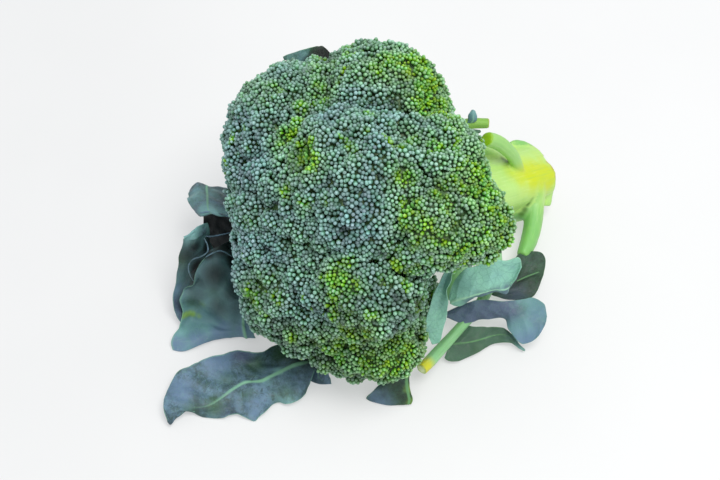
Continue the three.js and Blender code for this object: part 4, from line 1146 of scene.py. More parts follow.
def stem(name, nodes, material, replaces=None, seg=28, step=1.2, ridge=0.05, ridges=5, twist=0.02, rough=0.03, flat=0.0, groove=0.0, warm=None, cut_start=False, cut_end=False, seed=0.0):
    nodes = np.asarray(nodes, float)

    def shape(s, a, length):
        ring = np.stack([np.cos(a) * 3, np.sin(a) * 3, np.full(len(a), s / 9.0)], -1)
        k = 1 + ridge * np.cos(ridges * a + seed + s * twist) + 0.4 * ridge * np.cos((ridges + 2) * a - seed + s * twist)
        k = k + rough * noise(ring * 1.0, 1.0, seed) + 0.5 * rough * noise(ring, 0.35, seed + 2)
        k = k * (1 - flat * np.sin(a) ** 2)
        k = k - groove * np.exp(-(((a - math.pi / 2 + math.pi) % (2 * math.pi) - math.pi) / 0.5) ** 2)
        return k

    v, faces, along, around = tube(nodes, seg, step, shape)
    n = (len(v) - 2) // seg
    cut = np.zeros(len(v))
    ring = np.zeros(len(v))
    add_v, add_f, add_c, add_r = [], [], [], []
    body, caps = faces
    keep = [body]
    for which, wanted in ((0, cut_start), (1, cut_end)):
        if not wanted:
            keep.append(caps[:seg] if which == 0 else caps[seg:])
            continue
        rim = np.arange(seg) + (0 if which == 0 else (n - 1) * seg)
        mid = v[rim].mean(0)
        axis = unit(mid - v[np.arange(seg) + (seg if which == 0 else (n - 2) * seg)].mean(0))
        prev = None
        base = len(v) + sum(len(x) for x in add_v)
        levels = [1.0, 0.985, 0.95, 0.85, 0.7, 0.55, 0.4, 0.25, 0.1]
        for li, k in enumerate(levels):
            p = mid + (v[rim] - mid) * k + axis * (0.5 * (1 - max(0, (k - 0.9) / 0.1) ** 2) if k > 0.9 else 0.5)
            p = p + axis * (0.35 * noise(p, 2.2, seed)[:, None]) * (k < 0.97)
            add_v.append(p)
            add_c.append(np.full(seg, 1.0 if k < 1.0 else 0.0))
            add_r.append(np.full(seg, k))
        add_v.append(mid[None] + axis * 0.5)
        add_c.append(np.ones(1))
        add_r.append(np.zeros(1))
        j = np.arange(seg)
        rows = [base + li * seg + j for li in range(len(levels))]
        pairs = [(rim, rows[0])] + list(zip(rows[:-1], rows[1:]))
        for lo, hi in pairs:
            q = np.stack([lo, np.roll(lo, -1), np.roll(hi, -1), hi], -1)
            add_f.append(q if which == 1 else q[:, ::-1])
        t = np.stack([rows[-1], np.roll(rows[-1], -1), np.full(seg, base + len(levels) * seg)], -1)
        keep.append(t if which == 1 else t[:, ::-1])
    if add_v:
        av = np.concatenate(add_v)
        k = len(av)
        v = np.concatenate([v, av])
        cut = np.concatenate([cut, np.concatenate(add_c)])
        ring = np.concatenate([ring, np.concatenate(add_r)])
        along = np.concatenate([along, np.zeros(k)])
        around = np.concatenate([around, np.zeros(k)])
        keep += add_f
    # drop the two centre points of caps that aren't used
    used = np.zeros(len(v), bool)
    for f in keep:
        used[np.asarray(f).ravel()] = True
    new = np.cumsum(used) - 1
    keep = [new[np.asarray(f)] for f in keep]
    v, cut, ring, along, around = v[used], cut[used], ring[used], along[used], around[used]
    v[:, 2] = np.maximum(v[:, 2], 0.05)
    w = np.zeros(len(v)) if warm is None else warm(v, along)
    return make(name, v, keep, {"along": along, "around": around, "cut": cut, "ring": ring, "warm": w}, material, replaces)


def centre_line(nodes, step=0.8):
    nodes = np.asarray(nodes, float)
    length = np.linalg.norm(np.diff(nodes[:, :3], axis=0), axis=1).sum()
    q = spline(nodes, np.linspace(0, len(nodes) - 1, max(4, int(length / step))))
    s = np.concatenate([[0], np.cumsum(np.linalg.norm(np.diff(q[:, :3], axis=0), axis=1))])
    return q, s


def spot(v, spots):
    """Highest of soft spots (x, y, z, radius, strength) at points v."""
    out = np.zeros(len(v))
    for x, y, z, r, k in spots:
        d2 = ((v - np.array([x, y, z])) ** 2).sum(1) / (r * r)
        out = np.maximum(out, k * np.exp(-d2))
    return out


STALK_PARTS = {
    "upper": [(-5.4, 89.1, 24.41, 6), (-6.53, 85.74, 31.56, 3.6), (-6.36, 84.35, 38.66, 2.9), (-6.88, 81.78, 45.71, 3), (-7.49, 77.31, 53.29, 3.3), (-7.78, 71.94, 60.25, 3.45), (-7.36, 65.7, 66.32, 3.3)],
    "lower": [(-8.76, 95.61, 24.48, 5), (-1.44, 93.34, 22.84, 4.6), (2.42, 91.04, 18, 4.1), (7.18, 86.77, 14.5, 4.4), (12.75, 81.46, 12.5, 4.2), (17.9, 75.22, 11.5, 3.7), (21.23, 69.99, 11, 2.9)],
    "ridge": [(-24.05, 93.6, 33.16, 1), (-23.64, 98.18, 30.99, 1.7), (-22.4, 102.97, 27.02, 2), (-20.25, 107.81, 22.41, 1.6)],
    "heel": [(-6.84, 103.37, 16.12, 5), (-3.3, 101.44, 12.75, 3.6), (0.6, 98.72, 8.76, 2.7)],
    "side": [(-18.04, 71.14, 46.31, 2.8), (-16.96, 75.1, 43.39, 2.9), (-15.26, 78.7, 39.86, 3), (-14.36, 83.18, 33.38, 3.6)],
    "belly": [(-6.98, 79.69, 20.05, 8), (-3.3, 82.62, 16.13, 8.5), (-3.01, 88.64, 12.07, 7.5)],
}
STALK_SPOTS = {
    "yellow": [(-3.38, 100.31, 25.35, 8, 1), (-4.45, 96.12, 28.17, 9, 0.95), (-3.25, 89.05, 32, 9, 0.85), (-4.05, 82.61, 33.62, 9, 0.8), (-4.94, 77.36, 35.84, 8, 0.7), (-10.55, 102.3, 28.73, 6, 0.55), (-5.85, 83.73, 35.4, 5, 0.5), (-6.29, 92.18, 34.25, 7, 0.6)],
    "pale": [(0.47, 76.86, 23.93, 8, 0.9), (-17.9, 94.83, 34.55, 6, 0.7), (-10.85, 94.2, 35.78, 6, 0.6), (2.6, 97.42, 17.2, 7, 1), (-1.74, 74.18, 26.92, 6, 0.8), (-14.22, 76.54, 43.38, 5, 0.9), (0.94, 90.13, 25.58, 3, 0.4)],
    "green": [(-22.08, 98.07, 32.44, 5, 0.5), (9.68, 82.75, 18.7, 8, 0.5), (17.78, 76.06, 15.18, 8, 0.7), (3.87, 79.75, 16.27, 5, 0.6), (-14.7, 75.76, 43.38, 6, 0.4)],
    "brown": [(-9.98, 106.99, 25.19, 2.2, 0.9), (-6.64, 106.86, 22.75, 2.4, 1), (-4.1, 106.12, 20.61, 2.2, 0.9), (-14.27, 106.31, 27.94, 2.2, 0.6), (-19.35, 106.12, 26.25, 2.4, 0.5), (-23.18, 103.45, 27.78, 2.2, 0.45)],
    "shade": [(-9.31, 81.06, 41.9, 2.2, 1), (-11.41, 80.32, 41.76, 2, 0.9), (-7.59, 82.4, 38.66, 2, 0.9), (-5.48, 82.44, 37.17, 1.6, 0.6), (1.56, 88.51, 25.73, 1.5, 0.6), (2.88, 86.58, 23.93, 1.7, 0.9), (3.58, 84.91, 21.38, 2, 1), (4.66, 82.58, 19.58, 2.3, 1), (5.55, 80.64, 18.08, 2.3, 1), (5.9, 79.73, 16.13, 2, 0.9)],
}


def grow_stalk():
    """Stalk, its ridges and the leaf stalks that leave it, as one skin."""
    main = STEMS["stalk"]
    lump = lambda s, a, l: 1 + 0.035 * np.cos(3 * a + 1.2 + s * 0.01) + 0.03 * np.cos(5 * a - 0.7 + s * 0.02) + 0.015 * np.cos(9 * a + s * 0.03)
    parts = [tube(main, 72, 1.5, lump, dome=0.0)[:2]]
    for key, nodes in STALK_PARTS.items():
        phase = len(key) * 0.7
        parts.append(tube(nodes, 28, 1.0, lambda s, a, l: 1 + 0.06 * np.cos(3 * a + phase) + 0.03 * np.cos(5 * a - phase + s * 0.05), dome=0.0 if key != "ridge" else 0.4)[:2])
    v, f = remeshed("skin", parts, 0.9, 4)
    # which part each point belongs to, and where on it
    best = np.full(len(v), 1e9)
    which = np.zeros(len(v), int)
    along, around = np.zeros(len(v)), np.zeros(len(v))
    for i, nodes in enumerate([main] + list(STALK_PARTS.values())):
        q, s = centre_line(nodes)
        d = np.linalg.norm(v[:, None] - q[None, :, :3], axis=2)
        j = d.argmin(1)
        k = d[np.arange(len(v)), j] / q[j, 3]
        tan = unit(np.gradient(q[:, :3], axis=0))[j]
        side = unit(np.cross(tan, [0.2, 0.1, 0.97]))
        out = v - q[j, :3]
        ang = np.arctan2((out * np.cross(tan, side)).sum(1), (out * side).sum(1))
        m = k < best
        best[m], which[m], along[m], around[m] = k[m], i, s[j][m] + i * 40, (ang * q[:, 3].mean())[m]
    end = np.array(main[0][:3])
    axis = unit(end - np.array(main[1][:3]))
    r0 = main[0][3]
    h = (v - end) @ axis
    rad = np.linalg.norm(v - end - h[:, None] * axis, axis=1) / r0
    face = (h > -1.0) & (rad < 0.985)
    cut = np.where(face, 1.0, 0.0)
    ring = np.where(face, rad, 0.0)
    # the cut face isn't quite flat, and its rim has shrunk a little
    push = np.where(face, 0.35 * noise(v, 4.0, 2.0) + 0.2 * noise(v, 1.6, 5.0) - 0.5 * np.clip(0.6 - rad, 0, 1), 0)
    v = v + push[:, None] * axis
    tip = STALK_PARTS["upper"]
    e = np.array(tip[-1][:3])
    a2 = unit(e - np.array(tip[-2][:3]))
    h2 = (v - e) @ a2
    r2 = np.linalg.norm(v - e - h2[:, None] * a2, axis=1) / tip[-1][3]
    fresh = np.where((h2 > -0.8) & (r2 < 1.4), np.clip((1.02 - r2) / 0.12, 0, 1), 0.0)
    n3 = noise(v, 3.0, 3.0) * 0.25 + noise(v, 9.0, 1.0) * 0.3
    v = v + (noise(v, 2.2, 6.0) * 0.12)[:, None] * unit(v - (end - axis * 30))
    v[:, 2] = np.maximum(v[:, 2], 0.05)
    get = lambda k: np.clip(spot(v, STALK_SPOTS[k]), 0, 1)
    make(
        "stalk_skin",
        v,
        f,
        {
            "along": along,
            "around": around,
            "cut": cut,
            "ring": ring,
            "fresh": fresh,
            "warm": np.clip(get("yellow") * (1 + 0.5 * n3), 0, 1),
            "green": np.clip(np.where(which > 0, 0.62, 0.0) + get("green") - get("pale") * 0.9 + 0.3 * n3, 0, 1),
            "brown": get("brown") * np.clip(0.8 + noise(v, 1.5, 8.0), 0, 1),
            "shade": get("shade"),
        },
        STALK,
        "stalk",
    )
    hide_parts("leaf_stalk_cut")


grow_stalk()
stem("shoot", STEMS["shoot_upper"], SHOOT, "shoot_upper", seg=20, step=0.7, ridge=0.06, ridges=3, cut_end=True, cut_start=False, seed=3.0)
stem("leaf_stalk_right_skin", [[*(np.array(n[:3]) + RIGHT * s), n[3] * k] for n, k, s in zip(STEMS["petiole_right"], (0.78, 0.84, 0.86, 0.86, 0.86, 0.86, 0.86, 0.8, 0.72), (0, 0, 0, 0, 0, 0, -1.5, -5.5, -9.5))] + [[6.0, 66.0, 27.0, 3.2]], PETIOLE, "leaf_stalk_right", seg=28, step=0.8, ridge=0.05, ridges=3, flat=0.1, warm=lambda v, s: np.clip(1.1 - s / 8, 0, 1), cut_start=True, rough=0.05, seed=4.0)
stem("leaf_stalk_left", STEMS["petiole_left"], PETIOLE, "leaf_left", seg=20, step=1.0, ridge=0.05, ridges=3, seed=6.0)
stem("leaf_stalk_front", STEMS["petiole_front"] + [[2.0, 44.0, 27.0, 3.8]], PETIOLE, "leaf_front", seg=20, step=1.0, ridge=0.05, ridges=3, seed=7.0)
stem("leaf_stalk_top", STEMS["petiole_top"], PETIOLE, "leaf_top", seg=20, step=1.0, ridge=0.05, ridges=3, seed=8.0)

# ---------------------------------------------------------------- leaves


def leaf(name, grid, material, replaces=None, mid=None, flip=False, fine=0.6, ruffle=1.0, wave=13.0, thick=0.5, rib=1.0, rib_width=0.8, fade=1.0, veins=8.5, vein_width=0.5, vein_tone=0.4, angle=50.0, ragged=0.6, notch=0.0, pucker=0.5, seed=0.0, swap=False, tones=()):
    """A blade over a grid of points from base to tip: ribs, puckers and a ruffled margin are in the mesh."""
    g = np.asarray(grid, float)
    R, C = g.shape[:2]
    lu = np.linalg.norm(np.diff(g, axis=0), axis=2).sum(0).max()
    lv = np.linalg.norm(np.diff(g, axis=1), axis=2).sum(1).max()
    nu, nv = max(8, int(lu / fine)), max(8, int(lv / fine))
    tu, tv = np.linspace(0, R - 1, nu), np.linspace(0, C - 1, nv)
    a = np.stack([spline(g[:, c], tu) for c in range(C)], 1)
    P = np.stack([spline(a[i], tv) for i in range(nu)], 0)
    flat = P.reshape(-1, 3)
    # Tone spots; the dark ones are painted shade.
    spots = {k: np.zeros(nu * nv) for k in ("dark", "blue", "violet", "green", "pale", "lime")}
    for row, col, r, kind, power in tones:
        line = spline(g.reshape(R, -1), np.array([float(row)])).reshape(C, 3)
        at = spline(line, np.array([float(col)]))[0]
        d2 = ((flat - at) ** 2).sum(1) / (r * r)
        spots[kind] = np.maximum(spots[kind], power * np.exp(-d2 * 0.8))
    if mid is None:
        mid = (C - 1) / 2
    m = int(round(mid / (C - 1) * (nv - 1)))
    m = min(max(m, 0), nv - 1)
    # lengths along the rib and across from it, in mm
    S = np.concatenate([[0], np.cumsum(np.linalg.norm(np.diff(P[:, m], axis=0), axis=1))])
    step = np.linalg.norm(np.diff(P, axis=1), axis=2)
    X = np.concatenate([np.zeros((nu, 1)), np.cumsum(step, 1)], 1)
    X = X - X[:, m : m + 1]
    half = np.where(X >= 0, np.maximum(X[:, -1:], 0.5), np.maximum(-X[:, :1], 0.5))
    T = np.clip(np.abs(X) / half, 0, 1)
    SS = np.repeat(S[:, None], nv, 1)
    L = S[-1]
    du = np.gradient(P, axis=0)
    dv = np.gradient(P, axis=1)
    N = unit(np.cross(du, dv))
    if flip:
        N = -N
    # ragged, ruffled margin
    sgn = np.sign(X)
    edge = np.clip((T - 0.45) / 0.55, 0, 1) ** 1.6
    ends = np.clip(np.minimum(SS, L - SS + 4) / 8, 0, 1)
    key = np.stack([SS.ravel(), sgn.ravel() * 40, np.zeros(SS.size)], -1)
    n1 = noise(key, 5.5, seed).reshape(SS.shape)
    n2 = noise(key, 2.2, seed + 4).reshape(SS.shape)
    out = unit(dv) * sgn[..., None]
    bite = np.clip(noise(key, 3.6, seed + 9).reshape(SS.shape) - 0.25, 0, 1)
    P = P + out * ((ragged * (0.9 * n1 + 0.4 * n2) - notch * bite) * np.clip((T - 0.6) / 0.4, 0, 1) ** 2)[..., None]
    phase = SS / wave * 2 * math.pi + 2.4 * noise(key, 19.0, seed + 1).reshape(SS.shape) + (sgn > 0) * 1.9
    P = P + N * (ruffle * np.sin(phase) * edge * ends)[..., None]
    # ribs
    tan = math.tan(math.radians(90 - angle))
    taper = np.clip(1.04 - SS / L / fade, 0.0, 1)
    w = np.maximum(rib_width * (0.35 + 0.65 * taper), 0.4)
    wander = 0.5 * noise(np.stack([SS.ravel(), np.zeros(SS.size), np.zeros(SS.size)], -1), 12.0, seed + 2).reshape(SS.shape)
    midrib = np.exp(-(((X - wander * (mid > 0) * (mid < C - 1)) / w) ** 2))
    q = SS - np.abs(X) * tan * (1 - 0.25 * T) - (X > 0) * veins * 0.5
    q = q + 1.1 * noise(np.stack([SS.ravel(), X.ravel(), np.zeros(SS.size)], -1), 7.0, seed + 3).reshape(SS.shape)
    off = (q / veins - np.floor(q / veins) - 0.5) * veins
    vw = vein_width * (1 - 0.3 * T) + 0.12
    lateral = np.exp(-((off / vw) ** 2)) * np.clip(1.1 - T, 0, 1) * (half > 3)
    quilt = np.cos(off / veins * 2 * math.pi) * np.clip(T * 3, 0, 1) * (1 - 0.6 * T)
    lump = noise(flat, 5.0, seed + 6).reshape(SS.shape) * 0.6 + noise(flat, 2.4, seed + 8).reshape(SS.shape) * 0.3
    P = P - N * (pucker * (0.45 * quilt + 0.6 * lump) * np.clip(half / 8, 0, 1))[..., None]
    du = np.gradient(P, axis=0)
    dv = np.gradient(P, axis=1)
    N = unit(np.cross(du, dv))
    if flip:
        N = -N
    th = thick * (0.5 - 0.22 * T)
    top = P + N * (th + rib * 0.28 * midrib * taper - 0.12 * lateral)[..., None]
    low = P - N * (th + rib * 1.1 * midrib * taper + 0.28 * lateral)[..., None]
    V = np.concatenate([top.reshape(-1, 3), low.reshape(-1, 3)])
    V[:, 2] = np.maximum(V[:, 2], 0.12)
    k = nu * nv
    # keep a little thickness where the sheet is pressed on the table
    pressed = (V[k:, 2] < 0.2) & (V[:k, 2] < V[k:, 2] + 0.3)
    V[:k][pressed, 2] = V[k:][pressed, 2] + 0.3
    idx = np.arange(k).reshape(nu, nv)
    quads = np.stack([idx[:-1, :-1], idx[1:, :-1], idx[1:, 1:], idx[:-1, 1:]], -1).reshape(-1, 4)
    if flip:
        quads = quads[:, ::-1]
    rim = np.concatenate([idx[:, 0], idx[-1, 1:], idx[-2::-1, -1], idx[0, -2:0:-1]])
    nxt = np.roll(rim, -1)
    wall = np.stack([rim, rim + k, nxt + k, nxt], -1)
    if flip:
        wall = wall[:, ::-1]
    faces = [np.concatenate([quads, quads[:, ::-1] + k, wall])]
    both = lambda x: np.concatenate([x.ravel(), x.ravel()])
    vein = np.maximum(midrib * np.clip(taper * 1.6, 0, 1) * (rib > 0.05), vein_tone * lateral)
    below = np.concatenate([np.zeros(k), np.ones(k)])
    if swap:
        below = 1 - below
    attrs = {"vein": both(vein), "below": below, "edge": both(T), "along": both(SS), "across": both(X + 60)}
    attrs.update({key: both(x) for key, x in spots.items()})
    return make(name, V, faces, attrs, material, replaces)


# The dark tones below are painted shade: under the crown, in the left leaf's folds and hollows, on curled tips and in
# creases.
leaf("leaf_front_blade", BLADES["leaf_front"], LEAF_DARK, "leaf_front", mid=2.0, fine=0.68, rib=1.2, rib_width=1.15, fade=0.92, ruffle=1.1, wave=17, pucker=0.8, vein_tone=0.22, notch=1.0, seed=1.0,
     tones=[(0.3, 1, 8, "dark", 0.9), (1.3, 0.3, 6, "dark", 0.9), (2, 0.8, 6, "green", 0.8), (1.5, 3, 6, "blue", 0.5), (4, 1, 6, "green", 0.7), (5.2, 2.6, 4, "green", 0.6), (6, 1.3, 5, "green", 0.6), (3, 3.3, 6, "green", 0.5), (7.5, 2.4, 5, "green", 0.7),
            # The pale spot at row 3, column 4 is a painted highlight along the lower margin.
            (6, 0.4, 8, "blue", 0.8), (8.5, 0.8, 8, "blue", 0.75), (4.4, 0.4, 5, "violet", 0.8), (5, 3.2, 6, "blue", 0.6), (7.2, 3.4, 6, "violet", 0.5), (3, 4, 5, "pale", 0.5), (9, 2, 4, "green", 0.6), (2.6, 1.9, 3, "pale", 0.5), (3.4, 2.2, 3, "pale", 0.4), (11, 1, 5, "dark", 0.5)])
leaf("leaf_front_scrap", BLADES["leaf_front_bit"], LEAF_DARK, "leaf_front_bit", ruffle=0.3, seed=2.0, rib=0.4, rib_width=0.5, tones=[(0, 1, 6, "dark", 0.8), (1.5, 1, 6, "blue", 0.5)])
leaf("leaf_front_right_blade", BLADES["leaf_front_right"], LEAF_GREEN, "leaf_front_right", mid=1.82, rib=0.9, rib_width=0.8, fade=2.0, ruffle=0.5, vein_tone=0.2, pucker=0.8, seed=3.0,
     tones=[(0, 1, 7, "dark", 0.6), (4.6, 0.5, 7, "blue", 0.6), (3.4, 0.2, 4, "blue", 0.5), (2, 2, 3, "lime", 0.5), (3.2, 2, 3, "lime", 0.6), (4.4, 2, 3, "lime", 0.7), (2.4, 1, 6, "dark", 0.3)])
leaf("leaf_left_blade", BLADES["leaf_left"], LEAF_DARK, "leaf_left", mid=3.55, fine=0.66, rib=0.8, rib_width=0.75, fade=0.55, ruffle=1.0, pucker=1.0, vein_tone=0.3, veins=11, notch=0.8, seed=4.0,
     tones=[(0.6, 0.6, 6, "blue", 0.9), (0.7, 1.6, 6, "blue", 0.9), (0.9, 2.6, 6, "blue", 0.85), (0.9, 3.5, 5, "blue", 0.7), (1.5, 0.6, 4, "pale", 0.6), (0.2, 1.2, 4, "pale", 0.4), (1.3, 2.0, 4, "pale", 0.4),
            (2.85, 0.15, 1.8, "lime", 0.9), (2.75, 0.5, 1.6, "lime", 0.9), (2.65, 0.8, 1.6, "lime", 0.8), (2.5, 1.1, 1.6, "lime", 0.8), (2.4, 1.5, 1.5, "lime", 0.5), (3.4, 1.6, 2.5, "lime", 0.35),
            (3.4, 1.0, 5, "green", 0.6), (4.2, 2.2, 7, "green", 0.4), (3.3, 0.3, 4, "pale", 0.35), (4.2, 0.6, 3, "pale", 0.2),
            (5, 4, 10, "dark", 1.0), (6, 4, 10, "dark", 1.0), (6.4, 3.3, 7, "dark", 1.0), (7, 4, 9, "dark", 1.0), (8, 3, 8, "dark", 1.0), (4, 4, 8, "dark", 0.9), (3, 4, 6, "dark", 0.6), (5.4, 2.2, 9, "dark", 0.78), (5.2, 1.2, 8, "dark", 0.6), (4.2, 1.2, 8, "dark", 0.55), (3.2, 2.4, 7, "dark", 0.6), (7.6, 1.2, 4, "dark", 0.9), (4.4, 3.1, 8, "dark", 0.7), (3.2, 3.2, 6, "dark", 0.5), (2.3, 3.2, 4, "dark", 0.3)])
leaf("leaf_left_flap", BLADES["leaf_left_outer"], LEAF_DARK, "leaf_left", mid=1.5, rib=0.0, ruffle=0.6, vein_tone=0.15, seed=5.0,
     # The pale band near row 6 is painted light on the lit, rolled-over edge.
     tones=[(5.95, 0.4, 3, "pale", 1.0), (6, 1.2, 3.4, "pale", 1.0), (6.05, 2.0, 3.4, "pale", 1.0), (6.2, 2.8, 3, "pale", 0.9), (6.8, 1.5, 5, "pale", 0.8), (3, 1, 9, "dark", 0.6), (4, 1, 8, "dark", 0.75), (4.7, 1.6, 5, "dark", 0.85), (4.4, 2.6, 5, "dark", 0.9), (3.1, 2.2, 5, "dark", 1.0), (2.6, 2.6, 5, "dark", 1.0), (3.4, 2.8, 5, "dark", 1.0), (3.6, 0.4, 5, "green", 0.6), (1, 0.6, 6, "violet", 0.8), (0.3, 1, 6, "violet", 0.8), (2, 0.4, 5, "blue", 0.4), (1.5, 2.4, 5, "dark", 0.7)])
leaf("leaf_left_lobe", BLADES["leaf_left_top"], LEAF_DARK, "leaf_left", mid=2.0, fine=0.72, rib=0.6, rib_width=0.6, fade=0.5, ruffle=0.9, pucker=0.9, vein_tone=0.25, notch=0.8, seed=6.0,
     tones=[(1, 1, 7, "pale", 0.62), (0.6, 2.6, 7, "pale", 0.6), (2.2, 1.6, 6, "pale", 0.6), (2.6, 2.8, 5, "pale", 0.7), (1.6, 0.5, 4, "green", 0.4), (1.5, 3.6, 6, "blue", 0.7), (2.9, 1.5, 3, "pale", 0.8), (2.95, 3.2, 4, "pale", 0.8), (4.6, 2, 12, "dark", 1.0), (5.2, 2, 12, "dark", 1.0), (5.8, 2, 14, "dark", 1.0), (6.5, 2, 14, "dark", 1.0), (7, 2, 14, "dark", 1.0), (4.6, 3.6, 9, "dark", 1.0), (4.4, 0.6, 6, "dark", 1.0)])
FOLDS = [
    [(-46.23, -57.93, 36.5, 0.4), (-42.99, -58.04, 35, 0.5), (-40.59, -59.47, 33.5, 0.5), (-40.58, -63.32, 32.5, 0.45), (-41.88, -65.48, 31.5, 0.5), (-42.45, -67.63, 29.5, 0.5), (-41.03, -69.33, 27.5, 0.45), (-38.54, -69.84, 25.5, 0.4), (-36.06, -69.74, 24.5, 0.3)],
    [(-58.17, -53.34, 39, 0.35), (-56.05, -51.3, 40.5, 0.5), (-53.98, -48.82, 41, 0.5), (-51.05, -46.35, 41, 0.45), (-47.68, -42.68, 40, 0.3)],
    [(-50.51, -56.46, 33, 0.35), (-49.11, -53.74, 32, 0.5), (-48.29, -49.17, 31, 0.5), (-47.52, -43, 30, 0.35)],
    [(-33.96, -50.4, 31, 0.3), (-36.16, -54.41, 35.5, 0.45), (-36.87, -58.49, 36, 0.5), (-38.02, -61.55, 34, 0.4)],
]


def folded_margins():
    """Thick pale margins where the left leaf's blade folds over."""
    v, f = merged([tube([[*q[:3], q[3] * 0.72] for q in nodes], 8, 0.7, dome=0.6)[:2] for nodes in FOLDS])
    z = np.zeros(len(v))
    make("leaf_left_margins", v, f, {"vein": z + 0.12, "pale": z + 0.12, "edge": z}, LEAF_DARK, "leaf_left")
    v, f = merged([tube([(31.5, 59.8, 10.2, 0.3), (32.39, 64.68, 11.2, 0.4), (33.65, 70.46, 12, 0.28)], 8, 0.7, dome=0.6)[:2]])
    make("leaf_lower_vein", v, f, {"vein": np.full(len(v), 0.5)}, LEAF_GREEN, "leaf_lower")


folded_margins()
leaf("leaf_top_blade", BLADES["leaf_top"], LEAF_GREEN, "leaf_top", mid=1.0, rib=0.0, ruffle=0.3, vein_tone=0.2, ragged=0.4, seed=7.0, tones=[(4.4, 0.6, 6, "pale", 0.5), (3.6, 0.3, 5, "pale", 0.45), (3.8, 1.2, 4, "blue", 0.4), (1.6, 1.2, 5, "dark", 0.9), (2.4, 1.6, 4, "dark", 0.95), (1.0, 1.0, 6, "dark", 0.9), (3.0, 1.9, 3, "dark", 0.8)])
leaf("leaf_right_upright_blade", BLADES["leaf_right_upright"], LEAF_PALE, "leaf_right_upright", mid=1.0, rib=0.0, rib_width=0.5, ruffle=0.3, veins=2.6, angle=8.0, vein_tone=0.5, vein_width=0.3, pucker=0.4, seed=8.0,
     tones=[(4.5, 1, 9, "pale", 0.45), (3, 1.4, 9, "pale", 0.35), (5.6, 0.8, 6, "pale", 0.3), (1, 0.4, 4, "blue", 0.2), (6, 1, 4, "lime", 0.3), (2, 1, 6, "lime", 0.12)])
leaf("leaf_right_pale_blade", BLADES["leaf_right_pale"], LEAF_PALE, "leaf_right_pale", mid=3.0, rib=0.8, rib_width=0.6, fade=1.4, ruffle=0.6, veins=6.5, angle=62.0, vein_tone=0.4, vein_width=0.3, pucker=0.42, notch=1.4, seed=9.0,
     tones=[(2, 1.4, 8, "pale", 0.5), (4, 1.2, 8, "pale", 0.5), (6, 1, 6, "blue", 0.3), (2, 4, 4, "violet", 0.8), (3, 4, 4, "violet", 0.9), (4, 4, 4, "violet", 1.0), (5, 4, 4, "violet", 1.0), (6, 4, 4, "violet", 0.9), (1, 3.6, 4, "dark", 0.3)])
leaf("leaf_right_long_blade", BLADES["leaf_right_long"], LEAF_DARK, "leaf_right_long", mid=1.0, rib=0.0, rib_width=0.45, fade=0.4, ruffle=0.6, vein_tone=0.16, veins=7.0, pucker=0.7, seed=10.0,
     tones=[(0, 1, 8, "violet", 0.9), (1.5, 1, 8, "violet", 0.9), (3, 1, 8, "violet", 1.0), (4.3, 0.7, 7, "violet", 0.8), (2.4, 2, 4, "green", 0.7), (5.6, 1.4, 6, "pale", 0.35), (6.6, 0.8, 7, "blue", 0.6), (6.4, 1.8, 7, "blue", 0.8), (7.6, 1.4, 6, "blue", 0.6), (7.0, 1, 4, "green", 0.5), (5.2, 0.6, 4, "green", 0.5)])
leaf("leaf_right_low_blade", BLADES["leaf_right_low"], LEAF_GREEN, "leaf_right_low", mid=1.0, rib=0.25, rib_width=0.4, fade=0.9, ruffle=0.6, wave=11, vein_tone=0.25, pucker=0.8, seed=11.0,
     tones=[(1.5, 1, 8, "dark", 0.35), (3.5, 0.6, 8, "dark", 0.25), (3, 1.8, 5, "green", 0.5), (6.5, 1, 6, "pale", 0.6), (5.4, 0.6, 5, "blue", 0.3)])
leaf("leaf_lower_blade", BLADES["leaf_lower"], LEAF_GREEN, "leaf_lower", mid=1.0, rib=0.0, rib_width=0.45, fade=0.3, ruffle=0.6, vein_tone=0.12, pucker=0.6, seed=12.0,
     tones=[(1.5, 1.4, 8, "dark", 0.2), (3, 0.6, 8, "dark", 0.5), (4.5, 1, 8, "violet", 0.5), (2.6, 2, 5, "green", 0.4)])
leaf("leaf_shoot_tip", BLADES["leaf_shoot_tip"], LEAF_DARK, "shoot_upper", fine=0.5, rib=0.2, rib_width=0.4, ruffle=0.15, ragged=0.2, pucker=0.2, thick=0.6, seed=13.0, tones=[(3, 1, 3, "pale", 0.5)])
leaf("leaf_shoot_low", BLADES["leaf_shoot_low"], LEAF_GREEN, "shoot_upper", fine=0.5, rib=0.2, rib_width=0.4, ruffle=0.15, ragged=0.2, pucker=0.2, thick=0.6, seed=14.0)

# ---------------------------------------------------------------- table, light, camera


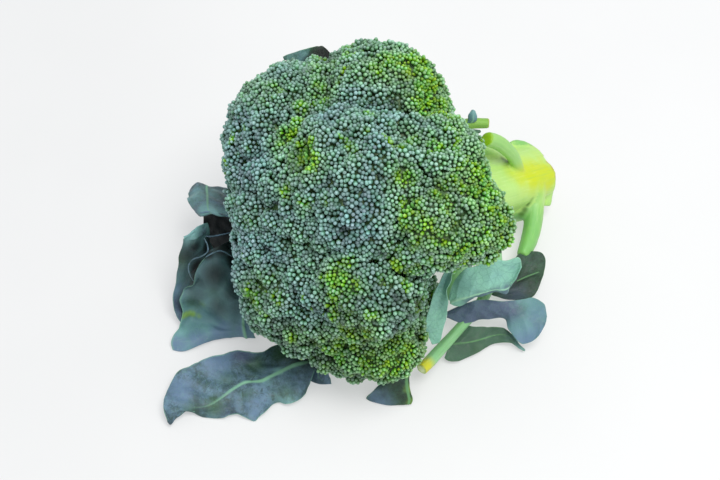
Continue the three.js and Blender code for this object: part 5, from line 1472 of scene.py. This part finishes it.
def stage():
    me = bpy.data.meshes.new("table_top")
    h = 4.0
    me.from_pydata([(-h, -h, 0), (h, -h, 0), (h, h, 0), (-h, h, 0)], [], [(0, 1, 2, 3)])
    floor = bpy.data.objects.new("table_top", me)
    bpy.context.scene.collection.objects.link(floor)
    n = Nodes("table_cloth")
    c = n.mix(n.ramp(n.noise(9.0, 3.0), 0.3, 0.7), (0.395, 0.398, 0.402, 1), (0.405, 0.408, 0.412, 1))
    n.put(n.bsdf.inputs["Base Color"], c)
    n.put(n.bsdf.inputs["Roughness"], 0.95)
    n.put(n.bsdf.inputs["Specular IOR Level"], 0.0)
    n.put(n.bsdf.inputs["Emission Color"], (0.985, 0.992, 1.0, 1))
    # Painted light: the floor glows a little brighter towards the right of the view, as if lit from that side.
    across = n.node("ShaderNodeVectorMath", {0: n.place(), 1: (0.53, 0.848, 0.0)}, out=1, operation="DOT_PRODUCT")
    n.put(n.bsdf.inputs["Emission Strength"], n.ramp(across, -0.17, 0.02, 0.392, 0.448))
    me.materials.append(n.mat)


stage()


def area_light(name, place, aim, size, watts, color=(1, 1, 1)):
    li = bpy.data.lights.new(name, "AREA")
    li.shape = "DISK"
    li.size = size
    li.energy = watts
    li.color = color
    ob = bpy.data.objects.new(name, li)
    bpy.context.scene.collection.objects.link(ob)
    z = unit(np.array(place, float) - np.array(aim, float))
    x = unit(np.cross([0, 0, 1] if abs(z[2]) < 0.99 else [0, 1, 0], z))
    y = np.cross(z, x)
    m = np.eye(4)
    m[:3, 0], m[:3, 1], m[:3, 2], m[:3, 3] = x, y, z, place
    ob.matrix_world = Matrix(m.tolist())
    return ob


area_light("key", (0.5, 0.05, 1.35), (0, 0, 0.05), 0.8, 15.0, (1.0, 0.99, 0.96))
world = bpy.data.worlds.new("room")
bpy.context.scene.world = world
world.use_nodes = True
world.node_tree.nodes["Background"].inputs["Color"].default_value = (0.97, 0.985, 1.0, 1)
world.node_tree.nodes["Background"].inputs["Strength"].default_value = 0.75

cam = bpy.data.cameras.new("camera")
cam.lens = 75
cam.sensor_width = 36
cam.clip_start = 0.01
cam_ob = bpy.data.objects.new("camera", cam)
bpy.context.scene.collection.objects.link(cam_ob)
m = np.eye(4)
m[:3, 0] = (0.529919, 0.848048, 0.0)
m[:3, 1] = (-0.649642, 0.405942, 0.642788)
m[:3, 2] = (0.545115, -0.340626, 0.766044)
m[:3, 3] = (0.363511, -0.225742, 0.546815)
cam_ob.matrix_world = Matrix(m.tolist())
bpy.context.scene.camera = cam_ob
bpy.context.scene.view_settings.view_transform = "Standard"
